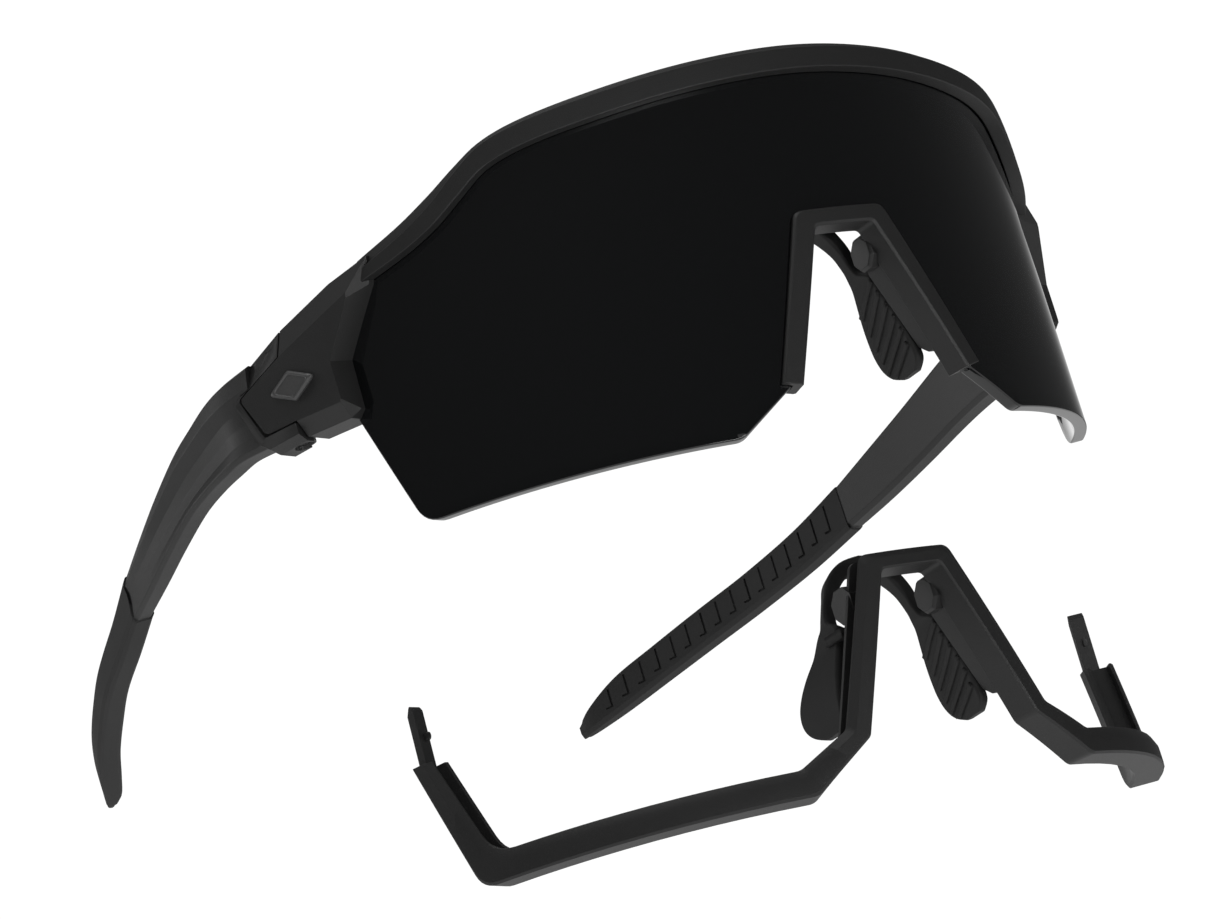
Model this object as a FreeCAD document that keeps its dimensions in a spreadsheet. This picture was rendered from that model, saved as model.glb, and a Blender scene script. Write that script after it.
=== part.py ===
import FreeCAD, Part
import os
from math import asin, cos, degrees, radians, sin
from FreeCAD import Placement, Rotation, Vector

# Wraparound sport sunglasses, millimetres. The front faces -Y, Z is up and X runs
# from the wearer's right to the wearer's left. The origin is on the middle plane, on
# the lens's outer face, at the top of the nose notch. The shield lens is part of an
# upright cylinder, so most of the front is outlines wrapped round that cylinder: each
# is a list of (angle from the middle plane in degrees, height) points.

doc = FreeCAD.newDocument("sport_sunglasses")
sheet = doc.addObject("Spreadsheet::Sheet", "sizes")

DRIVING = {
    "lens_radius": 63.4,
    "lens_thickness": 2.0,
    "groove_gap": 0.05,
    "brow_back_depth": 4.0,
    "brow_front_lip": 2.2,
    "brow_face_height": 3.3,
    "lens_bottom": -30.7,
    "notch_top": -1.1,
    "bracket_flange": 0.95,
    "bracket_band": 2.6,
    "rim_drop": 47.8,
    "rim_setback": 9.9,
    "rim_play": 0.75,
    "side_face_x": 62.7,
    "side_face_y": 39.0,
    "side_face_turn": 23.6,
    "endpiece_depth": 6.5,
    "seam_along": 8.1,
    "seam_gap": 0.3,
    "tongue_depth": 1.7,
    "temple_depth": 5.0,
    "hinge_along": 10.2,
    "hinge_inset": 3.2,
    "knuckle_radius": 1.7,
    "knuckle_low": -6.0,
    "knuckle_high": 1.6,
    "screw_radius": 0.8,
    "screw_head_radius": 1.25,
    "screw_head_height": 1.0,
    "screw_low": -8.7,
    "nut_radius": 1.2,
    "nut_low": 2.7,
    "nut_high": 4.5,
    "badge_length": 8.4,
    "badge_width": 4.6,
    "badge_rise": 0.7,
    "badge_along": 7.1,
    "badge_height": -1.5,
    "core_thickness": 1.2,
    "core_height": 3.0,
    "core_length": 17.0,
    "lug_radius": 2.4,
    "lug_length": 3.0,
}
for row, (alias, value) in enumerate(DRIVING.items(), start=1):
    sheet.set(f"A{row}", alias)
    sheet.set(f"B{row}", str(value))
    sheet.setAlias(f"B{row}", alias)
doc.recompute()


def size(alias):
    return float(sheet.get(alias))


LENS_OUT = size("lens_radius")
LENS_IN = LENS_OUT - size("lens_thickness")
GAP = size("groove_gap")
SEAM_GAP = size("seam_gap")
MIRROR = (Vector(0, 0, 0), Vector(1, 0, 0))
SIDES = {"left": 1, "right": -1}


# ---- outlines wrapped round the lens cylinder ----

def angle_at(across):
    return degrees(asin(across / LENS_OUT))


def wrapped_face(runs, radius):
    """One trimmed cylinder face. A run of two points is straight, a longer one is smooth."""
    surface = Part.Cylinder()
    surface.Center = Vector(0, LENS_OUT, 0)
    surface.Axis = Vector(0, 0, 1)
    surface.Radius = radius
    edges = []
    for run in runs:
        flat = [FreeCAD.Base.Vector2d(radians(270 + angle), height) for angle, height in run]
        if len(flat) == 2:
            curve = Part.Geom2d.Line2dSegment(flat[0], flat[1])
        else:
            curve = Part.Geom2d.BSplineCurve2d()
            curve.interpolate(flat)
        edges.append(curve.toShape(surface))
    face = Part.Face(surface, Part.Wire(edges))
    face.validate()
    return face


def wrapped(runs, inner, outer):
    """The outline as a curved plate between two radii, with its edges cut square to the face."""
    return wrapped_face(runs, inner).makeOffsetShape(outer - inner, 1e-3, fill=True)


def straight_runs(points):
    return [[a, b] for a, b in zip(points, points[1:] + points[:1])]


def rounded(points, corner, reach):
    """The points with one corner replaced by a short quadratic curve."""
    before, tip, after = points[corner - 1], points[corner], points[(corner + 1) % len(points)]
    ends = []
    for other in (before, after):
        span = ((other[0] - tip[0]) ** 2 + (other[1] - tip[1]) ** 2) ** 0.5
        part = reach / span
        ends.append((tip[0] + (other[0] - tip[0]) * part, tip[1] + (other[1] - tip[1]) * part))
    steps = 6
    curve = []
    for step in range(steps + 1):
        t = step / steps
        curve.append(tuple((1 - t) ** 2 * ends[0][k] + 2 * t * (1 - t) * tip[k] + t ** 2 * ends[1][k]
                           for k in (0, 1)))
    return points[:corner] + curve + points[corner + 1:]


def both_sides(half):
    """A closed outline from its left half, listed from the middle outwards and back."""
    return half + [(-angle, height) for angle, height in reversed(half)]


# Lower edge of the brow where it meets the lens, from the middle to the shoulder.
BROW_LOW = [(0, 20.7), (14, 20.2), (28, 19.1), (38, 18.1), (43, 16.8), (47, 14.2), (51, 11.6),
            (56, 9.6), (63, 8.0)]
LENS_CORNER = (64.0, -28.0)
LENS_INNER = (angle_at(23.7), size("lens_bottom"))
NOTCH_LOW = (angle_at(15.4), -24.8)
NOTCH_HIGH = (angle_at(6.2), size("notch_top"))


def smooth_both(half):
    """A smooth run over both sides from a half run that starts on the middle plane."""
    return [(-angle, height) for angle, height in reversed(half[1:])] + half


def lifted(points, rise):
    return [(angle, height + rise) for angle, height in points]


# ---- the side face: a flat plate that carries on from the lens towards the temple ----

TURN = radians(size("side_face_turn"))
ALONG = Vector(sin(TURN), cos(TURN), 0)
OUT = Vector(cos(TURN), -sin(TURN), 0)
SIDE_START = Vector(size("side_face_x"), size("side_face_y"), 0)


def side_point(along, inset, height):
    return SIDE_START + ALONG * along - OUT * inset + Vector(0, 0, height)


def side_plate(points, start, depth):
    """(along, height) points made a plate that goes inwards from the side face."""
    corners = [side_point(along, start, height) for along, height in points]
    face = Part.Face(Part.makePolygon(corners + corners[:1]))
    return face.extrude(OUT * -depth)


def upright(radius, low, high):
    """A cylinder on the hinge axis."""
    foot = side_point(size("hinge_along"), size("hinge_inset"), low)
    return Part.makeCylinder(radius, high - low, foot, Vector(0, 0, 1))


def add_shape(label, shape):
    piece = doc.addObject("Part::Feature", label)
    piece.Label = label
    piece.Shape = shape.Solids[0] if len(shape.Solids) == 1 else shape
    return piece


def add_pair(stem, shape):
    """A piece for the wearer's left and its mirror image for the right."""
    add_shape(f"{stem}_left", shape)
    add_shape(f"{stem}_right", shape.mirror(*MIRROR))


# ---- shield lens ----

def lens_half():
    half = [NOTCH_HIGH, NOTCH_LOW, LENS_INNER, LENS_CORNER, (68.6, -8.4), (68.9, -0.8), (63.5, 9.2)]
    return rounded(half, 3, 4.2)


def make_lens():
    half = lens_half()
    top = lifted(BROW_LOW[:-1], 1.5)[::-1]
    return wrapped(straight_runs(both_sides(half + top[:-1])), LENS_IN, LENS_OUT)


add_shape("shield_lens", make_lens())

# ---- front frame: brow, endpieces, tongues and hinge knuckles in one moulding ----

FACE_HEIGHT = size("brow_face_height")
SEAM = size("seam_along")
CREASE_SEAM = (SEAM, 3.3)
CREASE_REAR = (16.4, 0.1)
TONGUE_LOW = (13.7, -6.2)


def brow_top(rise):
    """The brow's upper edge. The band narrows from the shoulder to the endpiece."""
    shoulder, narrowing = 47, 0.095
    return [(angle, height + rise - narrowing * max(0, angle - shoulder)) for angle, height in BROW_LOW]


def brow_strip(inner, outer, high_rise):
    low = smooth_both(BROW_LOW)
    high = smooth_both(brow_top(high_rise))
    return wrapped([low, [low[-1], high[-1]], high[::-1], [high[0], low[0]]], inner, outer)


def top_bevel(first, second):
    """A wedge that slopes the top of the side face inwards above a line along it."""
    low_edge = [side_point(first[0], 0, first[1]), side_point(second[0], 0, second[1])]
    rise, inset, reach = 6.0, 4.4, 9.0
    corners = [low_edge[0], low_edge[1], low_edge[1] - OUT * inset + Vector(0, 0, rise),
               low_edge[0] - OUT * inset + Vector(0, 0, rise)]
    face = Part.Face(Part.makePolygon(corners + corners[:1]))
    return face.extrude(OUT * reach)


def make_endpiece():
    block = side_plate([(-9.5, 10.3), (-2, 8.7), (SEAM, 6.4), (SEAM, -8.7), (0.3, -9.1), (0, -7.7),
                        (0, -0.8), (-7.6, 8.0), (-9.5, 8.8)], 0, size("endpiece_depth"))
    block = block.cut(top_bevel((-7.6, 8.2), CREASE_SEAM))
    tongue = side_plate([(SEAM - 1, 3.4), CREASE_SEAM, (15.9, 0.3), CREASE_REAR, (16.3, -0.5),
                         (TONGUE_LOW[0] + 0.2, TONGUE_LOW[1] + 0.5), TONGUE_LOW, (SEAM - 1, -6.3)],
                        0, size("tongue_depth"))
    web_low, web_high = size("knuckle_low"), size("knuckle_high")
    hinge, inset, reach = size("hinge_along"), size("hinge_inset"), size("knuckle_radius")
    web = side_plate([(SEAM - 1, web_low), (hinge, web_low), (hinge, web_high), (SEAM - 1, web_high)],
                     0.5, inset + reach - 0.5)
    knuckle = upright(reach, web_low, web_high)
    bore = upright(size("screw_radius") + GAP, web_low - 1, web_high + 1)
    pocket = wrapped(straight_runs([(68.65, -13), (73.5, -13), (72.0, 0.4), (68.9, 0.4)]), 60.8, 64.0)
    return block.multiFuse([tongue, web, knuckle]).cut(bore).cut(pocket)


def make_front():
    brow = brow_strip(LENS_OUT - size("brow_back_depth"), LENS_OUT + size("brow_front_lip") - 0.8,
                      FACE_HEIGHT + 0.7)
    lip = brow_strip(LENS_OUT, LENS_OUT + size("brow_front_lip"), FACE_HEIGHT - 0.2)
    endpiece = make_endpiece()
    solid = brow.multiFuse([lip, endpiece, endpiece.mirror(*MIRROR)])
    groove_top = smooth_both(lifted(BROW_LOW, 2.0))
    side = [(63.0, 10.0), (69.2, 0.6), (69.2, -14), (0, -14)]
    mirrored = [(-angle, height) for angle, height in reversed(side)]
    groove = wrapped([groove_top] + straight_runs([groove_top[-1]] + side[1:] + mirrored[1:-1]
                                                  + [groove_top[0]])[:-1],
                     LENS_IN - GAP, LENS_OUT + GAP)
    return solid.cut(groove).removeSplitter()


add_shape("front_frame", make_front())


# ---- badges: a plain raised lozenge on each endpiece ----

def add_badge(side, sign):
    body = doc.addObject("PartDesign::Body", f"badge_{side}")
    body.Label = f"badge_{side}"
    plane = next(o for o in body.Origin.OriginFeatures if o.Role == "XY_Plane")
    sketch = body.newObject("Sketcher::SketchObject", f"lozenge_{side}")
    sketch.AttachmentSupport = [(plane, "")]
    sketch.MapMode = "FlatFace"
    long_half, short_half = size("badge_length") / 2, size("badge_width") / 2
    tips = [Vector(long_half, 0, 0), Vector(0, short_half, 0), Vector(-long_half, 0, 0),
            Vector(0, -short_half, 0)]
    for start, end in zip(tips, tips[1:] + tips[:1]):
        sketch.addGeometry(Part.LineSegment(start, end), False)
    pad = body.newObject("PartDesign::Pad", f"badge_pad_{side}")
    pad.Profile = sketch
    pad.setExpression("Length", "sizes.badge_rise")
    centre = side_point(size("badge_along"), 0, size("badge_height"))
    outward = Vector(sign * OUT.x, OUT.y, 0)
    along = Vector(sign * ALONG.x, ALONG.y, 0)
    up = Vector(0, 0, 1) if sign > 0 else Vector(0, 0, -1)
    matrix = FreeCAD.Matrix(along.x, up.x, outward.x, sign * centre.x,
                            along.y, up.y, outward.y, centre.y,
                            along.z, up.z, outward.z, centre.z, 0, 0, 0, 1)
    body.Placement = Placement(matrix)
    return body


# ---- temple arms ----

def temple_station(x, y, turn, top, bottom, depth, scoop, inset=1.3):
    """One six-sided cross-section. turn is the outer face's angle from straight back."""
    out = Vector(cos(radians(turn)), -sin(radians(turn)), 0)
    outer = Vector(x, y, 0)
    tall = top - bottom
    profile = [(inset, top), (0, top - 0.24 * tall), (scoop, top - 0.6 * tall), (0, bottom), (depth, bottom + 0.3),
               (depth, top)]
    corners = [outer - out * b + Vector(0, 0, z) for b, z in profile]
    return Part.makePolygon(corners + corners[:1])


HEAD_END = 16.2
head_x, head_y = (side_point(HEAD_END, 0, 0).x, side_point(HEAD_END, 0, 0).y)
ARM_STATIONS = [
    (head_x, head_y, 23.6, 4.3, -8.6, 5.0, 0.05),
    (70.1, 58.0, 8, 3.2, -7.7, 4.7, 0.6),
    (70.4, 63.0, 0, 2.4, -7.6, 4.4, 1.1),
    (70.2, 69.0, -3, 1.2, -7.9, 4.1, 1.3),
    (69.8, 76.0, -4, -0.3, -8.7, 3.9, 1.2),
    (68.7, 86.0, -7, -2.8, -10.6, 3.7, 0.8),
    (67.2, 96.0, -9, -5.4, -12.6, 3.5, 0.3),
    (65.7, 105.0, -10, -7.5, -14.1, 3.3, 0.05),
]
SLEEVE_STATIONS = [
    (65.8, 105.25, -11, -7.5, -14.2, 3.5, 0.05),
    (63.3, 116.0, -14, -10.2, -16.4, 3.6, 0.05),
    (60.2, 128.0, -18, -12.5, -18.2, 3.6, 0.05),
    (56.7, 138.0, -21, -14.3, -19.9, 3.6, 0.05),
    (52.8, 148.0, -24, -16.2, -21.7, 3.5, 0.05),
    (49.0, 156.0, -27, -18.3, -23.5, 3.3, 0.05),
    (45.8, 161.6, -30, -21.4, -24.7, 2.6, 0.05),
    (44.3, 164.2, -32, -23.4, -25.2, 1.6, 0.02, 0.5),
]


def core_blank(clearance):
    """The stiffening tongue of the arm that reaches into the rubber sleeve."""
    start = Vector(65.4, 104.0, -10.8)
    reach = Vector(-sin(radians(11)), cos(radians(11)), -0.24).normalize()
    out = Vector(cos(radians(11)), sin(radians(11)), 0)
    up = out.cross(reach) * -1
    if up.z < 0:
        up = up * -1
    half = size("core_height") / 2 + clearance
    thick = size("core_thickness") / 2 + clearance
    centre = start - out * 1.75
    corners = [centre + out * i * thick + up * j * half for i, j in ((1, 1), (1, -1), (-1, -1), (-1, 1))]
    face = Part.Face(Part.makePolygon(corners + corners[:1]))
    return face.extrude(reach * (size("core_length") + clearance))


def make_temple():
    shaft = Part.makeLoft([temple_station(*row) for row in ARM_STATIONS], True, True)
    start = SEAM + SEAM_GAP
    hinge = size("hinge_along")
    head = side_plate([(start, 6.3), (HEAD_END + 0.01, 4.3), (HEAD_END + 0.01, -8.6), (14.2, -9.1),
                       (start, -9.0)], 0, size("temple_depth"))
    head = head.cut(top_bevel(CREASE_SEAM, CREASE_REAR))
    recess = side_plate([(0, CREASE_SEAM[1] + 0.35), (SEAM, CREASE_SEAM[1] + 0.35), (17.0, 0.5),
                         (14.1, -6.6), (0, -6.6)], -1, size("temple_depth") + 2)
    front_clear = side_plate([(start - 3, 12), (hinge, 12), (hinge, -12), (start - 3, -12)],
                             size("hinge_inset"), 6)
    nose = upright(hinge - start, -9.0, 6.0)
    arm = head.cut(front_clear).fuse(nose.common(head)).fuse(shaft).cut(recess)
    arm = arm.cut(upright(size("screw_radius") + GAP, -12, 4.4))
    arm = arm.cut(upright(size("screw_head_radius") + GAP, -12, size("screw_low") + 1.1))
    arm = arm.cut(upright(size("nut_radius"), size("nut_low"), size("nut_high")))
    return arm.fuse(core_blank(0)).removeSplitter()


def make_sleeve():
    return Part.makeLoft([temple_station(*row) for row in SLEEVE_STATIONS], True, True).cut(
        core_blank(GAP))


add_pair("temple_arm", make_temple())
add_pair("temple_sleeve", make_sleeve())


def make_screw():
    low = size("screw_low")
    head = upright(size("screw_head_radius"), low, low + size("screw_head_height"))
    shank = upright(size("screw_radius"), low, size("nut_high") - 0.3)
    foot = side_point(size("hinge_along"), size("hinge_inset"), low)
    slot = Part.makeBox(3, 0.35, 0.35, foot - Vector(1.5, 0.175, 0))
    return head.fuse(shank).cut(slot)


def make_nut():
    low, high = size("nut_low"), size("nut_high")
    return upright(size("nut_radius"), low, high).cut(upright(size("screw_radius"), low, high))


add_pair("hinge_screw", make_screw())
add_pair("hinge_nut", make_nut())
for side_name, side_sign in SIDES.items():
    add_badge(side_name, side_sign)


# ---- nose bracket and the bridge that the lower rim shares with it ----

BAND = size("bracket_band")
FLANGE = size("bracket_flange")
BRIDGE_OUT = [(angle_at(7.4), 0.1), (angle_at(16.7), -24.2)]
BRIDGE_IN = [(angle_at(4.8), 0.1 - BAND), (angle_at(13.8), -25.0)]


def octagon(centre, radius, length):
    corners = []
    for step in range(8):
        turn = radians(45 * step + 22.5)
        corners.append(centre + Vector(0, radius * cos(turn), radius * sin(turn)))
    return Part.Face(Part.makePolygon(corners + corners[:1])).extrude(Vector(length, 0, 0))


LUG_X, LUG_Y, LUG_Z = 5.5, 4.9, -5.3
WALL_HIGH, WALL_LOW, WALL_FRONT, WALL_BACK = -7.4, -20.6, 2.6, 6.7


def leg_x(height):
    """How far the inner face of the right-hand leg is from the middle plane at a height."""
    (top_angle, top), (low_angle, low) = BRIDGE_IN
    share = (height - top) / (low - top)
    return LENS_OUT * sin(radians(top_angle + (low_angle - top_angle) * share))


def pad_wall():
    """The thin wall behind a leg that backs the front edge of the nose pad."""
    thickness = 1.0
    corners = [Vector(leg_x(z), y, z) for y, z in
               ((WALL_FRONT, WALL_HIGH), (WALL_BACK, WALL_HIGH - 1), (WALL_BACK, WALL_LOW + 0.8),
                (WALL_BACK - 0.8, WALL_LOW), (WALL_FRONT, WALL_LOW))]
    face = Part.makeFilledFace(Part.makePolygon(corners + corners[:1]).Edges)
    return face.extrude(Vector(thickness, 0, 0))


def leg_fittings():
    """Behind each leg: the eight-sided boss that the nose saddle hooks over, and the pad wall."""
    boss = octagon(Vector(LUG_X, LUG_Y, LUG_Z), size("lug_radius"), size("lug_length"))
    fittings = [boss, pad_wall()]
    return fittings + [fitting.mirror(*MIRROR) for fitting in fittings]


def make_bracket():
    ring = both_sides([BRIDGE_OUT[0], BRIDGE_OUT[1], (angle_at(15.6), -25.2), BRIDGE_IN[1],
                       BRIDGE_IN[0]])
    web = both_sides([(NOTCH_HIGH[0] - 0.1, NOTCH_HIGH[1] - 0.1), (NOTCH_LOW[0] - 0.1, NOTCH_LOW[1]),
                      BRIDGE_IN[1], BRIDGE_IN[0]])
    front_flange = wrapped(straight_runs(ring), LENS_OUT + GAP, LENS_OUT + GAP + FLANGE)
    middle = wrapped(straight_runs(web), LENS_IN - 0.3, LENS_OUT + 0.3)
    rear_flange = wrapped(straight_runs(ring), LENS_IN - GAP - 1.1, LENS_IN - GAP)
    return front_flange.multiFuse([middle, rear_flange] + leg_fittings()).removeSplitter()


# Half of the nose saddle, from the middle down to a pad's foot: the place of its skin face across and
# up, its front and back edges, and its thickness.
SADDLE_STATIONS = [
    (0.0, 0.9, 9.2, 12.6, 2.5), (2.5, 0.4, 9.4, 12.9, 2.5), (4.3, -0.9, 9.7, 13.0, 2.4),
    (5.6, -3.0, 9.7, 12.4, 2.3), (6.6, -5.2, 9.9, 12.4, 2.1), (7.8, -8.0, 7.4, 13.3, 1.8),
    (9.4, -12.5, 7.4, 16.0, 1.7), (10.8, -16.9, 7.4, 17.6, 1.7), (11.2, -19.1, 7.4, 17.1, 1.7),
    (11.5, -22.0, 8.8, 12.8, 1.4),
]
SADDLE_SPLAY = 0.1


def saddle_slice(row, before, after):
    """A four-sided slice square to the saddle's run. The pads open outwards towards the back."""
    x, z, front, back, thick = row
    along = Vector(after[0] - before[0], 0, after[1] - before[1]).normalize()
    across = Vector(-along.z, 0, along.x)
    splay = SADDLE_SPLAY * max(-1, min(1, x / 8))
    corners = [Vector(x + splay * (y - 11), y, z) + across * depth
               for depth, y in ((0, front), (0, back), (thick * 0.62, back - 0.25), (thick, front + 0.25))]
    return Part.makePolygon(corners + corners[:1])


def make_saddle():
    rows = [(-row[0], *row[1:]) for row in reversed(SADDLE_STATIONS[1:])] + SADDLE_STATIONS
    slices = [saddle_slice(row, rows[max(place - 1, 0)], rows[min(place + 1, len(rows) - 1)])
              for place, row in enumerate(rows)]
    band = Part.makeLoft(slices, True, True)
    hook = Part.makeBox(1.3, 4.2, 1.4, Vector(8.8, 5.4, -9.6))
    return band.multiFuse([hook, hook.mirror(*MIRROR)]).removeSplitter()


add_shape("nose_bracket", make_bracket())
add_shape("nose_saddle", make_saddle())


# ---- detachable lower rim with its own nose saddle ----

DROP = Vector(0, size("rim_setback"), -size("rim_drop"))


def make_rim():
    over = 2.8
    below = 1.4
    on_lens = [BRIDGE_OUT[0], (BRIDGE_OUT[1][0] + 0.3, BRIDGE_OUT[1][1] + 0.3),
               (LENS_INNER[0] + 0.6, LENS_INNER[1] + over), (LENS_CORNER[0] - 1.6, LENS_CORNER[1] + over),
               (67.1, -9.6)]
    beyond = [(70.1, -9.6), (LENS_CORNER[0] + 2.2, LENS_CORNER[1] - below),
              (LENS_INNER[0] - 0.9, LENS_INNER[1] - below), (BRIDGE_IN[1][0], BRIDGE_IN[1][1] - 0.6),
              BRIDGE_IN[0]]
    half = rounded(on_lens + beyond, 6, 4.4)
    half = rounded(half, 3, 3.0)
    lens_edge = rounded([(NOTCH_HIGH[0] - 0.1, NOTCH_HIGH[1] - 0.1),
                         (NOTCH_LOW[0] - 0.2, NOTCH_LOW[1] - 0.1),
                         (LENS_INNER[0] - 0.1, LENS_INNER[1] - 0.15),
                         (LENS_CORNER[0] + 0.15, LENS_CORNER[1] - 0.15), (69.3, -9.6)], 3, 4.2)
    back = half[half.index((70.1, -9.6)):]
    wall = both_sides(lens_edge + back)
    play = size("rim_play")
    front_flange = wrapped(straight_runs(both_sides(half)), LENS_OUT + play, LENS_OUT + play + FLANGE)
    middle = wrapped(straight_runs(wall), LENS_IN - 0.4, LENS_OUT + play + 0.3)
    rear_flange = wrapped(straight_runs(both_sides(half)), LENS_IN - GAP - 1.1, LENS_IN - GAP)
    tab = wrapped(straight_runs([(69.35, -10.4), (70.6, -10.4), (70.6, -1.4), (69.5, -1.4)]),
                  LENS_IN + 0.1, LENS_OUT - 0.1)
    solid = front_flange.multiFuse([middle, rear_flange, tab, tab.mirror(*MIRROR)]
                                  + leg_fittings())
    return solid.removeSplitter()


rim_shape = make_rim()
rim_shape.translate(DROP)
add_shape("lower_rim", rim_shape)
rim_saddle_shape = make_saddle()
rim_saddle_shape.translate(DROP)
add_shape("rim_nose_saddle", rim_saddle_shape)

doc.recompute()

# ---- check and export ----

os.makedirs("parts", exist_ok=True)
for piece in doc.Objects:
    if "Invalid" in piece.State or "Error" in piece.State:
        raise RuntimeError(f"{piece.Label}: {piece.State}")
    if piece.TypeId not in ("Part::Feature", "PartDesign::Body"):
        continue
    shape = piece.Shape
    if shape.isNull() or not shape.isValid() or shape.Volume < 0.01:
        raise RuntimeError(f"{piece.Label}: bad shape")
    print(f"{piece.Label}: {len(shape.Solids)} solid(s), {shape.Volume:.1f} mm3")
    shape.exportStep(f"parts/{piece.Label}.step")
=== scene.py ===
import logging
import math
from dataclasses import dataclass, field
from enum import Enum
from typing import Callable

import bmesh
import bpy
import numpy as np
from mathutils import Matrix, Vector
from mathutils.geometry import delaunay_2d_cdt


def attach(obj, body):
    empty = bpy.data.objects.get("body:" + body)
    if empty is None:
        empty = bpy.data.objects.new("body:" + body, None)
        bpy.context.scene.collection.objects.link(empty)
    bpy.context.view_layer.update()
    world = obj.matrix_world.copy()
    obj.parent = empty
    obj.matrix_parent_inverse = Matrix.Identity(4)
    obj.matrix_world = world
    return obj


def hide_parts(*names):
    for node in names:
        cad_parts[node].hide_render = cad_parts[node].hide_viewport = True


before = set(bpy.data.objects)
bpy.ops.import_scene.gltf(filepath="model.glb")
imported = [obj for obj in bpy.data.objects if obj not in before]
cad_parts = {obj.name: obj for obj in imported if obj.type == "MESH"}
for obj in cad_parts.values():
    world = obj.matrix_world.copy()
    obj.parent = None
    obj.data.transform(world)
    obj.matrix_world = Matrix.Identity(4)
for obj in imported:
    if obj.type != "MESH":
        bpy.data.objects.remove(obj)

LOG = logging.getLogger("sport_sunglasses")
MM = 0.001
Point = tuple[float, float]
Place = tuple[float, float, float]
Row = tuple[float, ...]
Colour = tuple[float, float, float, float]


# ---------------------------------------------------------------- shader maths

class Value:
    """A shader socket that takes part in Python arithmetic."""

    def __init__(self, tree: bpy.types.NodeTree, socket: bpy.types.NodeSocket) -> None:
        """Wraps one output socket.

        Args:
            tree: The node tree that new Math nodes are added to.
            socket: The output whose value this object stands for.
        """
        self.tree = tree
        self.socket = socket

    def _maths(self, operation: str, *terms: "Value | float") -> "Value":
        """Adds one Math node.

        Args:
            operation: The Math node's operation.
            terms: The node's inputs in order.

        Returns:
            The node's result.
        """
        node = self.tree.nodes.new("ShaderNodeMath")
        node.operation = operation
        for slot, term in enumerate(terms):
            if isinstance(term, Value):
                self.tree.links.new(term.socket, node.inputs[slot])
            else:
                node.inputs[slot].default_value = term
        return Value(self.tree, node.outputs[0])

    def __add__(self, other: "Value | float") -> "Value":
        """Sum."""
        return self._maths("ADD", self, other)

    __radd__ = __add__

    def __mul__(self, other: "Value | float") -> "Value":
        """Product."""
        return self._maths("MULTIPLY", self, other)

    __rmul__ = __mul__

    def __sub__(self, other: "Value | float") -> "Value":
        """Difference."""
        return self._maths("SUBTRACT", self, other)

    def __rsub__(self, other: float) -> "Value":
        """Difference from a plain number."""
        return self._maths("SUBTRACT", other, self)

    def at_least(self, low: float) -> "Value":
        """The value, kept from going below a limit."""
        return self._maths("MAXIMUM", self, low)

    def raised(self, power: float) -> "Value":
        """The value to a power."""
        return self._maths("POWER", self, power)


class Shader:
    """A material being built round one Principled shader."""

    def __init__(self, name: str) -> None:
        """Starts an empty material.

        Args:
            name: The material's name.
        """
        self.material = bpy.data.materials.new(name)
        self.material.use_nodes = True
        self.tree = self.material.node_tree
        self.surface = self.tree.nodes["Principled BSDF"]

    def node(self, kind: str, settings: dict[str, object] | None = None,
             inputs: dict[str, object] | None = None) -> bpy.types.Node:
        """Adds any node.

        Args:
            kind: The node's type name.
            settings: Its own properties, set first.
            inputs: Values or links for its sockets, by name.

        Returns:
            The new node.
        """
        node = self.tree.nodes.new(kind)
        for name, value in (settings or {}).items():
            setattr(node, name, value)
        for name, value in (inputs or {}).items():
            self._feed(node.inputs[name], value)
        return node

    def _feed(self, socket: bpy.types.NodeSocket, value: object) -> None:
        """Links or sets one socket."""
        if isinstance(value, Value):
            self.tree.links.new(value.socket, socket)
        elif isinstance(value, bpy.types.NodeSocket):
            self.tree.links.new(value, socket)
        else:
            socket.default_value = value

    def set(self, **values: object) -> None:
        """Feeds the Principled shader; an underscore stands for a space in a socket's name."""
        for name, value in values.items():
            self._feed(self.surface.inputs[name.replace("_", " ")], value)

    def place(self) -> bpy.types.NodeSocket:
        """The object coordinate that every pattern reads."""
        return self.node("ShaderNodeTexCoord").outputs["Object"]

    def noise(self, scale: float, detail: float, roughness: float = 0.5) -> Value:
        """Fractal noise on object coordinates, scale in features per metre."""
        node = self.node("ShaderNodeTexNoise", {}, {
            "Vector": self.place(), "Scale": scale, "Detail": detail, "Roughness": roughness})
        return Value(self.tree, node.outputs["Fac"])

    def blend(self, factor: Value, first: Colour, second: Colour) -> bpy.types.NodeSocket:
        """A colour between two others."""
        node = self.node("ShaderNodeMix", {"data_type": "RGBA"})
        self._feed(node.inputs[0], factor)
        self._feed(node.inputs[6], first)
        self._feed(node.inputs[7], second)
        return node.outputs[2]

    def bump(self, height: Value, depth: float, strength: float = 1.0) -> bpy.types.NodeSocket:
        """A normal from a height pattern, depth in metres."""
        node = self.node("ShaderNodeBump", {}, {"Height": height, "Distance": depth, "Strength": strength})
        return node.outputs["Normal"]


def grey(level: float, warmth: float = 0.0) -> Colour:
    """A linear grey, a little bluer for a negative warmth."""
    return (level * (1 + warmth), level, level * (1 - warmth), 1.0)


# ---------------------------------------------------------------- finishes

@dataclass(frozen=True)
class MouldedPlastic:
    """Spark-eroded matte nylon: nearly black, with a fine even grain."""

    name: str = "moulded_matte_plastic"
    shade: float = 0.020
    roughness: float = 0.46
    grain_per_metre: float = 5200.0
    grain_depth: float = 0.00003

    def build(self) -> bpy.types.Material:
        """Makes the material."""
        shader = Shader(self.name)
        grain = shader.noise(self.grain_per_metre, 2.0, 0.6)
        clouds = shader.noise(90.0, 2.0)
        shader.set(
            Base_Color=shader.blend(clouds, grey(self.shade * 0.86), grey(self.shade * 1.14)),
            Roughness=grain * 0.16 + (self.roughness - 0.08),
            Normal=shader.bump(grain, self.grain_depth),
            Specular_IOR_Level=0.5,
        )
        return shader.material


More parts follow.
